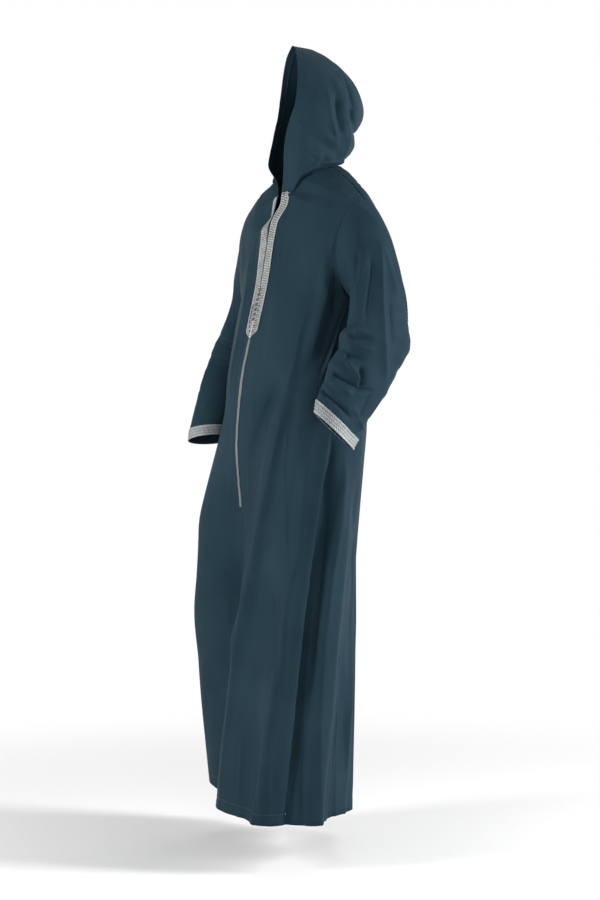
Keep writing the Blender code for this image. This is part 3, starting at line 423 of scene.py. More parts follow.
def lower(angle, h):
    angle, h = np.broadcast_arrays(np.asarray(angle, float), np.asarray(h, float))
    turn, cx, cy, half_w, front, back, power = look(RINGS, h)
    a = np.radians(angle)
    sx, sy = np.sin(a), np.cos(a)
    x = np.sign(sx) * np.abs(sx) ** (2 / power) * half_w
    y = -np.sign(sy) * np.abs(sy) ** (2 / power) * np.where(sy > 0, front, back)
    d = fold_depth(angle, h)
    r = np.hypot(x / half_w ** 2, y / front ** 2)
    x, y = x + d * x / half_w ** 2 / r, y + d * y / front ** 2 / r
    c, s = np.cos(np.radians(turn)), np.sin(np.radians(turn))
    at, width, lift = HEM_LIFT
    up = lift * np.exp(-(wrap(angle - at) / width) ** 2) * ease((0.40 - h) / 0.30)
    return np.stack([cx + c * x - s * y, cy + s * x + c * y, h + up - NECK], -1)


def neck(q, side):
    x, y, h = look(NECKLINE, q, soft=False)
    return np.stack([side * x, y, h - NECK], -1)


def armhole(side, deg, forward):
    o = ARMHOLE[side]
    up = np.array([side * o.lean, 0.0, 1.0])
    up /= np.linalg.norm(up)
    a = np.radians(np.asarray(deg, float))[..., None]
    return (np.array([o.x, o.y, o.h - NECK]) + up * (o.half_h * np.sin(a))
            + np.array([0.0, -forward * o.half_d, 0.0]) * np.cos(a))


def upper(side, forward, u, w):
    u, w = np.broadcast_arrays(np.asarray(u, float), np.asarray(w, float))
    if forward > 0:
        gap, y, h = look(FRONT_EDGE, w)
        edge = np.stack([side * gap, y, h - NECK], -1)
        p0 = np.where((w <= 0.70)[..., None], edge, neck(0.65 * (w - 0.70) / 0.30, side))
    else:
        _, y, h = look(BACK_EDGE, w)
        edge = np.stack([y * 0.0, y, h - NECK], -1)
        p0 = np.where((w <= 0.85)[..., None], edge, neck(1.0 - 0.35 * (w - 0.85) / 0.15, side))
    p1 = armhole(side, -90 + 180 * w, forward)
    power, = look(POWER_UP, w)
    a = u * math.pi / 2
    out, fore = np.sin(a) ** (2 / power), np.cos(a) ** (2 / power)
    base = np.stack([p0[..., 0] + (p1[..., 0] - p0[..., 0]) * out,
                     p1[..., 1] + (p0[..., 1] - p1[..., 1]) * fore,
                     p0[..., 2] + (p1[..., 2] - p0[..., 2]) * out], -1)
    angle = side * (90 * u if forward > 0 else 180 - 90 * u)
    blend = ease(w / 0.30)
    ring = lower(angle, ARMPIT)
    q0, q1 = lower(0 if forward > 0 else 180, ARMPIT), lower(90 * side, ARMPIT)
    p = 2 / RINGS[-1].power
    out0, fore0 = np.sin(a) ** p, np.cos(a) ** p
    plain = np.stack([q0[0] + (q1[0] - q0[0]) * out0, q1[1] + (q0[1] - q1[1]) * fore0, ring[..., 2]], -1)
    base = base + (ring - plain) * (1 - blend)[..., None]
    d = fold_depth(angle, base[..., 2] + NECK) * (1 - ease((w - 0.5) / 0.5)) * blend
    away = base.copy()
    away[..., 2] = 0.25 * w * w
    base[..., 2] += SHOULDER_BOW * np.sin(math.pi * u) ** 2 * w * w
    return base + unit(away) * d[..., None]


def even(rows, count):
    """Each row of points spread evenly along its own length, and that length."""
    step = np.linalg.norm(np.diff(rows, axis=1), axis=-1)
    run = np.concatenate([np.zeros((len(rows), 1)), np.cumsum(step, axis=1)], 1)
    out = np.empty((len(rows), count + 1, 3))
    for i in range(len(rows)):
        want = np.linspace(0, run[i, -1], count + 1)
        for k in range(3):
            out[i, :, k] = np.interp(want, run[i], rows[i, :, k])
    return out, run[:, -1]


def normals(p, loop=False):
    """Unit normals of a grid of points (rows by columns)."""
    if loop:
        du = (np.roll(p, -1, 1) - np.roll(p, 1, 1)) / 2
    else:
        du = np.gradient(p, axis=1)
    return unit(np.cross(du, np.gradient(p, axis=0)))


def crease_depth(p, n, on, creases=CREASES):
    """Depth of the view's creases at every point, where the cloth faces the view."""
    s, h = p @ ACROSS, p[..., 2] + NECK
    facing = ease((n @ VIEW - 0.02) / 0.25)
    total = np.zeros(s.shape)
    for c in creases:
        if c.on != on:
            continue
        pts = np.array(c.path)
        seg = np.diff(pts, axis=0)
        size = np.linalg.norm(seg, axis=1)
        run = np.concatenate([[0], np.cumsum(size)])
        best = np.full(s.shape, 9.0)
        along = np.zeros(s.shape)
        sign = np.zeros(s.shape)
        for k in range(len(seg)):
            dx, dy = s - pts[k, 0], h - pts[k, 1]
            t = np.clip((dx * seg[k, 0] + dy * seg[k, 1]) / size[k] ** 2, 0, 1)
            ex, ey = dx - t * seg[k, 0], dy - t * seg[k, 1]
            dist = np.hypot(ex, ey)
            nearer = dist < best
            best = np.where(nearer, dist, best)
            along = np.where(nearer, (run[k] + t * size[k]) / run[-1], along)
            sign = np.where(nearer, seg[k, 0] * ey - seg[k, 1] * ex, sign)
        # the path runs downwards: its right hand is the left of the view
        width = np.where(sign > 0, c.right, c.left)
        shape = np.exp(-(best / (0.85 * width)) ** 1.25)
        if c.fade0:
            shape = shape * ease(along / c.fade0)
        if c.fade1:
            shape = shape * ease((1 - along) / c.fade1)
        total += c.depth * shape
    return total * facing


def ripple_depth(angle, h):
    total = np.zeros(np.broadcast(angle, h).shape)
    for f in RIPPLES:
        t = np.clip((h - f.h0) / (f.h1 - f.h0), 0.0, 1.0)
        off = wrap(angle - (f.a0 + (f.a1 - f.a0) * t))
        width = f.w0 + (f.w1 - f.w0) * t
        start = ease((h - f.h0) / f.fade0) if f.fade0 else 1.0
        total = total + f.depth * start * ease((f.h1 - h) / f.fade1) * np.exp(-np.abs(off / width) ** 1.6)
    return total


def seam_roll(d):
    """How far the cloth sinks at a distance from a sewn edge."""
    return -0.0013 * np.exp(-(d / 0.0030) ** 2) - 0.0004 * np.exp(-(d / 0.010) ** 2)


def pucker(d, along, seed):
    """Small gathers beside a seam."""
    wave = noise(along, d * 0, 0.012, 1.0, seed) + 0.6 * noise(along, d * 0, 0.030, 1.0, seed + 1)
    return 0.0007 * np.exp(-(d / 0.012) ** 2) * wave


# ---------------------------------------------------------------- body panels

COLS = 142 // FINE
LOW = 140 // FINE
HIGH = 90 // FINE
HEM = RINGS[0].h
ROW_H = np.linspace(HEM, ARMPIT, LOW + 1)
ROW_W = np.linspace(0, 1, HIGH + 1)[1:]


def panel_base(side, forward):
    u = np.linspace(0, 1, COLS * 4 + 1)
    u = np.sort(np.concatenate([u, np.linspace(0, 0.03, 20)[1:-1], np.linspace(0.97, 1, 20)[1:-1]]))[None]
    angle = side * (90 * u if forward > 0 else 180 - 90 * u)
    rows = np.concatenate([lower(angle, ROW_H[:, None]), upper(side, forward, u, ROW_W[:, None])])
    grid, length = even(rows, COLS)
    # the row of the armpit passes smoothly into the rows above it
    reach = np.exp(-((np.arange(len(grid)) - LOW) / (13.0 / FINE)) ** 2)[:, None]
    across = 1 - ease((np.linspace(0, 1, COLS + 1)[None] - 0.80) / 0.17)
    k = (reach * across)[..., None][1:-1]
    for _ in range(90 // FINE):
        mid = (grid[:-2] + grid[2:]) / 2
        grid[1:-1] += 0.5 * k * (mid - grid[1:-1])
    return grid, length


def angle_of(side, forward, share):
    """Rough degrees round the robe at a share of a panel's row."""
    return side * (90 * share if forward > 0 else 180 - 90 * share)


# ---------------------------------------------------------------- sleeves


SLEEVE_ROWS = 176 // FINE


def sleeve_base(side):
    """Points of a sleeve: rows from the armhole to the cuff, columns all the way round."""
    o = ARMHOLE[side]
    up = unit(np.array([side * o.lean, 0.0, 1.0])) * o.half_h
    c0 = np.array([o.x, o.y, o.h])
    first = Cuff(0.0, c0[0] + up[0], o.y, c0[2] + up[2], c0[0] - up[0], o.y, c0[2] - up[2], o.half_d, 0)
    t = np.linspace(0, 1, SLEEVE_ROWS + 1)
    ox, oy, oh, ix, iy, ih, half, tilt = look([first] + SLEEVE[side], t)
    outer, inner = np.stack([ox, oy, oh - NECK], -1), np.stack([ix, iy, ih - NECK], -1)
    tilt = np.radians(tilt)
    c, v = ((outer + inner) / 2)[:, None], ((outer - inner) / 2)[:, None]
    f = (np.stack([0 * tilt, -np.cos(tilt), np.sin(tilt)], -1) * half[:, None])[:, None]
    w = np.concatenate([[0.0], ROW_W])
    a = np.concatenate([-90 + 180 * w, 90 + 180 * (1 - w[::-1][1:-1])])      # armpit, front, outer side, back
    r = np.radians(a)[None, :, None]
    p = c + v * np.sin(r) + f * np.cos(r)
    return p, t[:, None], a[None]


def sleeve_folds(side, p, tt, aa):
    """The sleeve with its folds, and the distance down it of each row."""
    n = normals(p, loop=True)
    mid = p.mean(1, keepdims=True)
    n = n * np.where(np.sum(n * (p - mid), axis=-1).mean() > 0, 1, -1)
    d = np.zeros(p.shape[:2])
    calm = 0.50 if side > 0 else 0.26
    for fo in ARM_FOLDS[side] + DRAGS[side]:
        share = wrap(aa - fo.a0) / (fo.a1 - fo.a0)
        near = ease((share + 0.25) / 0.45) * ease((1.25 - share) / 0.45)
        off = tt - (fo.t0 + (fo.t1 - fo.t0) * np.clip(share, 0, 1))
        d += calm * fo.depth * near * np.exp(-np.abs(off / fo.width) ** 1.6)
    name = "sleeve_left" if side > 0 else "sleeve_right"
    d = d + crease_depth(p, n, name)
    arc = np.radians(aa) * 0.07
    d = d + 0.0010 * noise(arc + 3, tt * 0.55, 0.045, 0.09, 71 + side) + 0.0006 * noise(arc + 3, tt * 0.55 + 4, 0.018, 0.05, 75 + side)
    along = tt * 0.56
    d = d * ease(along / 0.016) * ease((0.555 - along) / 0.030)
    round_w = 1 - np.abs(wrap(aa - 90)) / 180
    d = d + seam_roll(along + 0 * aa) * (0.85 - 0.40 * ease(round_w / 0.6)) + pucker(along, arc * 2 + 3, 81 + side) * 0.5
    # the seam along the arm, on the inner side
    d = d + seam_roll(np.abs(wrap(aa + 90)) * 0.0012 + 0 * tt) * 0.8
    # the cloth ends under the braid, a little gathered above it
    d = d + 0.0007 * np.exp(-((along - 0.520) / 0.010) ** 2) * noise(arc + 3, tt * 0, 0.013, 1.0, 91 + side)
    return p + n * d[..., None], along


def ease_armhole(base, arm, side):
    """Lets the shoulder run on into the sleeve, panel and sleeve as one line of cloth."""
    reach_in, reach_out = 26 // FINE, 26 // FINE
    for forward in (1, -1):
        cols = np.arange(HIGH + 1)
        if forward < 0:
            cols = (-cols) % arm.shape[1]
        panel = base[side, forward][LOW:]
        line = np.concatenate([panel[:, -reach_in:], np.moveaxis(arm[1:reach_out + 1, cols], 0, 1)], 1)
        place = np.arange(line.shape[1]) - (reach_in - 1)
        w = np.concatenate([[0.0], ROW_W])[:, None]
        k = np.where(place < 0, 1 - ease(-place / (reach_in - 2.0)), 1 - ease(place / (reach_out - 2.0)))[None]
        k = k * ease((w - 0.18) / 0.40)
        gap = np.linalg.norm(np.diff(line, axis=1), axis=-1)
        for _ in range(110 // FINE ** 2):
            g0, g1 = gap[:, :-1, None], gap[:, 1:, None]
            mid = (line[:, :-2] * g1 + line[:, 2:] * g0) / (g0 + g1)
            line[:, 1:-1] += 0.5 * k[:, 1:-1, None] * (mid - line[:, 1:-1])
        panel[:, -reach_in:] = line[:, :reach_in]
        arm[1:reach_out + 1, cols] = np.moveaxis(line[:, reach_in:], 1, 0)
        arm[0, cols] = line[:, reach_in - 1]


def slit_lips(p):
    """Near its top the neck slit's right lip turns edge on, the left one leans out."""
    x, y, h = p[..., 0], p[..., 1], p[..., 2] + NECK
    front = ease((-0.030 - y) / 0.030)
    high = ease((h - 1.430) / 0.038) * (1 - ease((h - 1.535) / 0.060))
    right = high * ease((0.004 - x) / 0.020) * np.exp(-((x + 0.048) / 0.045) ** 2) * front
    left = np.exp(-((h - 1.486) / 0.023) ** 2) * ease(x / 0.012) * (1 - ease((x - 0.045) / 0.040)) * front
    return p + right[..., None] * np.array([0.0072, 0.0225, 0.0]) + left[..., None] * np.array([0.0065, 0.0065, 0.0])


def body():
    """Points of the four quarters with all folds, and the sleeves' grids before their folds."""
    base, run, out_n, arms = {}, {}, {}, {}
    for side in (1, -1):
        for forward in (1, -1):
            base[side, forward], run[side, forward] = panel_base(side, forward)
        arms[side] = list(sleeve_base(side))
        ease_armhole(base, arms[side][0], side)
    for side in (1, -1):
        base[side, 1] = slit_lips(base[side, 1])
    for side in (1, -1):
        for forward in (1, -1):
            out_n[side, forward] = normals(base[side, forward]) * side * forward
    low = slice(0, LOW + 1)
    for forward in (1, -1):
        stop = LOW + 1 if forward > 0 else int(np.sum(ROW_W <= 0.85)) + LOW + 1
        both = unit(out_n[1, forward][:stop, 0] + out_n[-1, forward][:stop, 0])
        out_n[1, forward][:stop, 0] = out_n[-1, forward][:stop, 0] = both
    for side in (1, -1):
        both = unit(out_n[side, 1][low, -1] + out_n[side, -1][low, -1])
        out_n[side, 1][low, -1] = out_n[side, -1][low, -1] = both
        both = unit(out_n[side, 1][-1] + out_n[side, -1][-1])
        out_n[side, 1][-1] = out_n[side, -1][-1] = both
    done = {}
    share = np.linspace(0, 1, COLS + 1)[None]
    for (side, forward), p in base.items():
        n, length = out_n[side, forward], run[side, forward][:, None]
        h = p[..., 2] + NECK
        to_side, to_mid = (1 - share) * length, share * length
        rows = np.arange(len(p))[:, None]
        top = np.concatenate([np.full(LOW + 1, 9.0), (1 - ROW_W) * 0.30])[:, None] + 0 * share
        w = np.concatenate([np.zeros(LOW + 1), ROW_W])[:, None]
        arm = np.where(rows > LOW, to_side, 9.0)
        at_neck = w >= (0.70 if forward > 0 else 0.85)
        neck_d = np.where(at_neck, to_mid, 9.0)
        if forward > 0:
            slit = np.where((w > 0.45) & ~at_neck, to_mid, 9.0)
        else:
            slit = np.full(p.shape[:2], 9.0)
        angle = angle_of(side, forward, share)
        d = crease_depth(p, n, "body")
        if side > 0 and forward > 0:
            d = d + crease_depth(p, n, "body", [BAG_PRINT])
        d = d + ripple_depth(angle, h)
        around = np.radians(angle) * 0.24
        d = d + 0.0012 * noise(around + 9, h, 0.050, 0.19, 3) + 0.0006 * noise(around + 9, h + 5, 0.021, 0.075, 5)
        # the closed side seam: the front stands proud of it, the back falls away
        if side > 0:
            band = ease((h - 0.15) / 0.15) * ease((0.98 - h) / 0.08)
        else:
            band = ease((h - 0.12) / 0.10) * ease((1.05 - h) / 0.10) * 0.5
        step = np.exp(-(to_side / (0.014 if forward > 0 else 0.015)) ** 2) * (1 - np.exp(-(to_side / 0.0022) ** 2))
        d = d + band * step * (0.0058 if forward > 0 else -0.0105)
        # all of it dies out at the armhole, the shoulder and the neck
        d = d * ease(arm / 0.014) * ease(neck_d / 0.012) * ease((top + 0.004) / 0.02)
        d = d + seam_roll(np.where(rows <= LOW, to_side, 9.0)) + seam_roll(top) * 1.1 + seam_roll(neck_d) * 0.3
        d = d - 0.0030 * np.exp(-((neck_d - 0.005) / 0.008) ** 2) * ease((neck_d + 0.002) / 0.006)
        d = d + seam_roll(arm) * (0.85 - 0.40 * ease(w / 0.6))
        d = d + pucker(arm, w * 0.4, 11 + side) * 0.5 + pucker(top, to_mid, 21 + side) * 0.7
        d = d + pucker(np.where(rows <= LOW, to_side, 9.0), h, 41 + side)
        if forward > 0:
            mid = np.where(rows <= LOW + int(0.45 * HIGH), to_mid, 9.0)
            d = d + seam_roll(mid) * 0.8 + pucker(mid, h, 51)
        else:
            d = d + seam_roll(np.where(~at_neck, to_mid, 9.0)) * 0.5
        # turned hem: a line of stitches draws it in, the fold below it is rounder
        hem = h - HEM
        d = d - 0.0009 * np.exp(-((hem - 0.024) / 0.0026) ** 2) + 0.0006 * ease((0.022 - hem) / 0.006)
        d = d + 0.0009 * np.exp(-((hem - 0.022) / 0.018) ** 2) * noise(around + 9, h * 0, 0.016, 1.0, 61)
        done[side, forward] = p + n * d[..., None]
    return done, arms


# ---------------------------------------------------------------- hood


def hood(side):
    k = np.linspace(0, 1, 361)
    u = (1 - (1 - k) ** 1.8)[None]
    v = np.linspace(0, 1, 118 // FINE + 1)[:, None]
    fx, fy, fh = look(FACE_EDGE, v)
    ty, th = look(TOP_SEAM, u)
    by, bh = look(BACK_SEAM, v)
    nx, ny, nh = look(NECKLINE, u, soft=False)
    g = np.maximum(0, 1 - u ** 2.3) ** (1 / 2.3)
    x = np.maximum(0, fx) * g + (nx - FACE_EDGE[0].x * g) * (1 - v) ** 1.6
    x = x + np.maximum(0, 0.020 * np.sin(math.pi * np.minimum(1, u * 1.05)) * np.sin(math.pi * np.minimum(1, v * 1.05)))
    first, last, top, crown = FACE_EDGE[0], BACK_SEAM[0], FACE_EDGE[-1], BACK_SEAM[-1]

    def mix(f, b, t, n, c00, c10, c01, c11):
        return ((1 - u) * f + u * b + (1 - v) * n + v * t
                - ((1 - u) * (1 - v) * c00 + u * (1 - v) * c10 + (1 - u) * v * c01 + u * v * c11))

    y = mix(fy, by, ty, ny, first.y, last.y, top.y, crown.y)
    h = mix(fh, bh, th, nh, first.h, last.h, top.h, crown.h)
    edge = np.minimum(1, (1 - u) / 0.12) * np.minimum(1, v / 0.10) * np.minimum(1, (1 - v) / 0.10)
    for f in HOOD_FOLDS:
        dy, dh = f.y1 - f.y0, f.h1 - f.h0
        length2 = dy * dy + dh * dh
        t = ((y - f.y0) * dy + (h - f.h0) * dh) / length2
        near = ease((t + 0.15) / 0.3) * ease((1.15 - t) / 0.3)
        off = ((y - f.y0) * dh - (h - f.h0) * dy) / math.sqrt(length2)
        x = x + f.depth * near * np.exp(-(off / f.width) ** 2) * ease(edge)
    turn = math.radians(HOOD_TURN) * ease(v / 0.36)
    c, s = np.cos(turn), np.sin(turn)
    x = x * side
    rows = np.stack([c * x - s * y, s * x + c * y, h - NECK], -1)
    rows = slit_lips(rows)
    p, length = even(rows, 104 // FINE)
    n = normals(p)
    n = n * np.where(n[len(n) // 2, n.shape[1] // 3, 0] * side > 0, 1, -1)
    share = np.linspace(0, 1, p.shape[1])[None]
    length = length[:, None]
    front_d, seam_d = share * length, (1 - share) * length
    up = v * 0.36
    top_d = (1 - v) * 0.36 + 0 * share
    name = "hood_left" if side > 0 else "hood_right"
    d = crease_depth(p, n, name)
    yy, hh = p[..., 1], p[..., 2] + NECK
    d = d + 0.0008 * noise(yy + 3, hh, 0.050, 0.060, 101 + side) + 0.0004 * noise(yy + 4, hh, 0.020, 0.022, 105 + side)
    d = d * ease(seam_d / 0.02) * ease(top_d / 0.02) * ease(up / 0.012)
    d = d + (seam_roll(seam_d) + seam_roll(top_d)) * 0.8 + seam_roll(up + 0 * share) * 0.3
    d = d + 0.0064 * np.exp(-((up - 0.014) / 0.010) ** 2) * ease((front_d - 0.020) / 0.03) * ease(seam_d / 0.03)
    d = d + pucker(seam_d, up + 0 * share, 111) + pucker(top_d, front_d, 115)
    # the turned front edge and its line of stitches
    d = d + 0.0009 * np.exp(-(front_d / 0.0030) ** 2) - 0.0008 * np.exp(-((front_d - 0.014) / 0.0022) ** 2)
    d = d + 0.0006 * np.exp(-((front_d - 0.012) / 0.012) ** 2) * noise(up, front_d * 0, 0.011, 1.0, 125)
    out = p + n * d[..., None]
    # its foot is tucked just under the neck edge of the panels
    out[0] += np.array([0.0, 0.0, -0.0038]) - n[0] * 0.0016
    out[0, :, 2] -= 0.0045 * ease((share[0] - 0.85) / 0.12)
    return out


# ---------------------------------------------------------------- meshes


def arcs(p, loop=False):
    """Lengths across and up the cloth at every point, for its weave."""
    du = np.linalg.norm(np.diff(p, axis=1), axis=-1)
    dv = np.linalg.norm(np.diff(p, axis=0), axis=-1)
    u = np.concatenate([np.zeros((len(p), 1)), np.cumsum(du, 1)], 1)
    v = np.concatenate([np.zeros((1, p.shape[1])), np.cumsum(dv, 0)], 0)
    return u, v.mean(1, keepdims=True) + 0 * u


def quads(index, loop, flip):
    a, b = index[:-1], index[1:]
    if loop:
        a2, b2 = np.roll(a, -1, 1), np.roll(b, -1, 1)
    else:
        a, a2, b, b2 = a[:, :-1], a[:, 1:], b[:, :-1], b[:, 1:]
    f = np.stack([a, a2, b2, b], -1).reshape(-1, 4)
    return f[:, ::-1] if flip else f


def make(name, verts, faces, uv, material, wall, body_name="root", painted_shade=None, rim=True):
    """An object from points and faces, with its weave's directions and its wall."""
    mesh = bpy.data.meshes.new(name)
    mesh.from_pydata(verts.tolist(), [], faces.tolist())
    layer = mesh.uv_layers.new(name="weave")
    loops = np.empty(len(mesh.loops), dtype=np.int32)
    mesh.loops.foreach_get("vertex_index", loops)
    layer.data.foreach_set("uv", uv[loops].astype(np.float32).ravel())
    # the braid's painted shade of its hollows, kept as a point attribute
    if painted_shade is not None:
        att = mesh.attributes.new("recess_shade", "FLOAT", "POINT")
        att.data.foreach_set("value", painted_shade.astype(np.float32))
    mesh.polygons.foreach_set("use_smooth", np.ones(len(mesh.polygons), dtype=bool))
    mesh.update()
    ob = bpy.data.objects.new(name, mesh)
    bpy.context.scene.collection.objects.link(ob)
    mesh.materials.append(material)
    if wall:
        mod = ob.modifiers.new("wall", "SOLIDIFY")
        mod.thickness = wall
        mod.offset = -1.0
        mod.use_rim = rim
    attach(ob, body_name)
    return ob


def grid_object(name, p, material, wall, loop=False, flip=False, painted_shade=None):
    index = np.arange(p.shape[0] * p.shape[1]).reshape(p.shape[:2])
    u, v = arcs(p)
    uv = np.stack([u, v], -1).reshape(-1, 2)
    return make(name, p.reshape(-1, 3), quads(index, loop, flip), uv, material, wall,
                painted_shade=None if painted_shade is None else painted_shade.ravel())


# ---------------------------------------------------------------- materials


def node(tree, kind, **values):
    n = tree.nodes.new(kind)
    for key, value in values.items():
        if key in n.inputs:
            n.inputs[key].default_value = value
        else:
            setattr(n, key, value)
    return n


def ramp(tree, source, stops):
    r = node(tree, "ShaderNodeValToRGB")
    r.color_ramp.elements[0].position, r.color_ramp.elements[1].position = stops[0][0], stops[-1][0]
    r.color_ramp.elements[0].color = (*stops[0][1], 1)
    r.color_ramp.elements[1].color = (*stops[-1][1], 1)
    for at, col in stops[1:-1]:
        r.color_ramp.elements.new(at).color = (*col, 1)
    tree.links.new(source, r.inputs["Fac"])
    return r.outputs["Color"]


def grey(v):
    return (v, v, v)


def cloth_material(name, dark, mid, light, rough=0.56, seed=0.0):
    """Fine plain weave with slubs and a soft satin face."""
    m = bpy.data.materials.new(name)
    m.use_nodes = True
    t = m.node_tree
    link = t.links.new
    shader = t.nodes["Principled BSDF"]
    where = node(t, "ShaderNodeTexCoord")
    stretch = node(t, "ShaderNodeMapping")
    stretch.inputs["Scale"].default_value = (1400.0, 160.0, 1.0)
    stretch.inputs["Location"].default_value = (seed, seed * 3, 0)
    link(where.outputs["UV"], stretch.inputs["Vector"])
    warp = node(t, "ShaderNodeTexNoise", Scale=1.0, Detail=2.0, Roughness=0.6)
    link(stretch.outputs["Vector"], warp.inputs["Vector"])
    stretch2 = node(t, "ShaderNodeMapping")
    stretch2.inputs["Scale"].default_value = (140.0, 1500.0, 1.0)
    link(where.outputs["UV"], stretch2.inputs["Vector"])
    weft = node(t, "ShaderNodeTexNoise", Scale=1.0, Detail=2.0, Roughness=0.6)
    link(stretch2.outputs["Vector"], weft.inputs["Vector"])
    threads = node(t, "ShaderNodeMath", operation="ADD")
    link(warp.outputs["Fac"], threads.inputs[0])
    link(weft.outputs["Fac"], threads.inputs[1])
    # soft cloudiness of the dye and of the wear
    cloud = node(t, "ShaderNodeTexNoise", Scale=5.0, Detail=4.0, Roughness=0.55)
    link(where.outputs["Object"], cloud.inputs["Vector"])
    rumple = node(t, "ShaderNodeTexNoise", Scale=42.0, Detail=3.0, Roughness=0.5)
    flat = node(t, "ShaderNodeMapping")
    flat.inputs["Scale"].default_value = (1.0, 1.0, 0.45)
    link(where.outputs["Object"], flat.inputs["Vector"])
    link(flat.outputs["Vector"], rumple.inputs["Vector"])
    total = node(t, "ShaderNodeMath", operation="MULTIPLY_ADD")
    link(threads.outputs[0], total.inputs[0])
    total.inputs[1].default_value = 0.30
    link(cloud.outputs["Fac"], total.inputs[2])
    colour = ramp(t, total.outputs[0], [(0.55, dark), (0.80, mid), (1.05, light)])
    link(colour, shader.inputs["Base Color"])
    rough_range = node(t, "ShaderNodeMapRange")
    rough_range.inputs["From Min"].default_value = 0.6
    rough_range.inputs["From Max"].default_value = 1.4
    rough_range.inputs["To Min"].default_value = rough - 0.05
    rough_range.inputs["To Max"].default_value = rough + 0.07
    link(threads.outputs[0], rough_range.inputs["Value"])
    link(rough_range.outputs["Result"], shader.inputs["Roughness"])
    b1 = node(t, "ShaderNodeBump", Strength=0.55, Distance=0.00020)
    link(threads.outputs[0], b1.inputs["Height"])
    b2 = node(t, "ShaderNodeBump", Strength=0.5, Distance=0.0016)
    link(rumple.outputs["Fac"], b2.inputs["Height"])
    link(b1.outputs["Normal"], b2.inputs["Normal"])
    link(b2.outputs["Normal"], shader.inputs["Normal"])
    shader.inputs["Specular IOR Level"].default_value = 0.025
    shader.inputs["Specular Tint"].default_value = (0.50, 0.75, 0.90, 1)
    shader.inputs["Sheen Weight"].default_value = 0.03
    shader.inputs["Sheen Roughness"].default_value = 0.35
    shader.inputs["Sheen Tint"].default_value = (0.20, 0.45, 0.60, 1)
    return m


def braid_material(name, dark, mid, light, seed=0.0):
    """Woven silver-grey thread; painted shade darkens the hollows between the stitches and the openwork."""
    m = bpy.data.materials.new(name)
    m.use_nodes = True
    t = m.node_tree
    link = t.links.new
    shader = t.nodes["Principled BSDF"]
    where = node(t, "ShaderNodeTexCoord")
    recess_shade = node(t, "ShaderNodeAttribute", attribute_name="recess_shade")
    fleck = node(t, "ShaderNodeTexNoise", Scale=520.0, Detail=2.0, Roughness=0.6)
    link(where.outputs["Object"], fleck.inputs["Vector"])
    cloud = node(t, "ShaderNodeTexNoise", Scale=34.0, Detail=3.0, Roughness=0.5)
    link(where.outputs["Object"], cloud.inputs["Vector"])
    total = node(t, "ShaderNodeMath", operation="MULTIPLY_ADD")
    link(fleck.outputs["Fac"], total.inputs[0])
    total.inputs[1].default_value = 0.45
    half = node(t, "ShaderNodeMath", operation="MULTIPLY_ADD")
    link(cloud.outputs["Fac"], half.inputs[0])
    half.inputs[1].default_value = 0.30
    half.inputs[2].default_value = 0.18
    link(half.outputs[0], total.inputs[2])
    # painted shade: the hollows' mask pulls the colour down towards the darkest stop
    less = node(t, "ShaderNodeMath", operation="SUBTRACT", use_clamp=True)
    link(total.outputs[0], less.inputs[0])
    link(recess_shade.outputs["Fac"], less.inputs[1])
    colour = ramp(t, less.outputs[0], [(0.0, dark), (0.34, mid), (0.66, light)])
    link(colour, shader.inputs["Base Color"])
    thread = node(t, "ShaderNodeMapping")
    thread.inputs["Scale"].default_value = (900.0, 2600.0, 1.0)
    link(where.outputs["UV"], thread.inputs["Vector"])
    strands = node(t, "ShaderNodeTexNoise", Scale=1.0, Detail=2.0)
    link(thread.outputs["Vector"], strands.inputs["Vector"])
    b1 = node(t, "ShaderNodeBump", Strength=0.6, Distance=0.0003)
    link(strands.outputs["Fac"], b1.inputs["Height"])
    link(b1.outputs["Normal"], shader.inputs["Normal"])
    shader.inputs["Roughness"].default_value = 0.46
    shader.inputs["Specular IOR Level"].default_value = 0.5
    shader.inputs["Sheen Weight"].default_value = 0.15
    return m


CLOTH_MATERIAL = cloth_material("cloth_teal", (0.0096, 0.0220, 0.0314), (0.0123, 0.0270, 0.0375), (0.0160, 0.0325, 0.0445))
CLOTH_INSIDE = cloth_material("cloth_teal_pocket", (0.0096, 0.0220, 0.0314), (0.0123, 0.0270, 0.0375), (0.0160, 0.0325, 0.0445), 0.7, 4.0)
# each braid's first colour is the near-black that its painted shade of the hollows reaches
BRAID_MATERIAL = braid_material("braid_silver", (0.016, 0.020, 0.024), (0.235, 0.245, 0.236), (0.50, 0.51, 0.485))
LINE_MATERIAL = braid_material("braid_line", (0.022, 0.030, 0.034), (0.080, 0.096, 0.102), (0.150, 0.168, 0.172), 2.0)
CUFF_MATERIAL = braid_material("braid_cuff", (0.030, 0.038, 0.044), (0.150, 0.167, 0.169), (0.298, 0.311, 0.303), 3.0)
THREAD = braid_material("thread", (0.010, 0.022, 0.030), (0.018, 0.036, 0.048), (0.026, 0.048, 0.062), 5.0)

# ---------------------------------------------------------------- cloth pieces

quarters, arms = body()
for side, word in ((1, "left"), (-1, "right")):
    ob = grid_object("cloth_front_" + word, quarters[side, 1], CLOTH_MATERIAL, 0.0012, flip=side < 0)
    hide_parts("front_" + word)

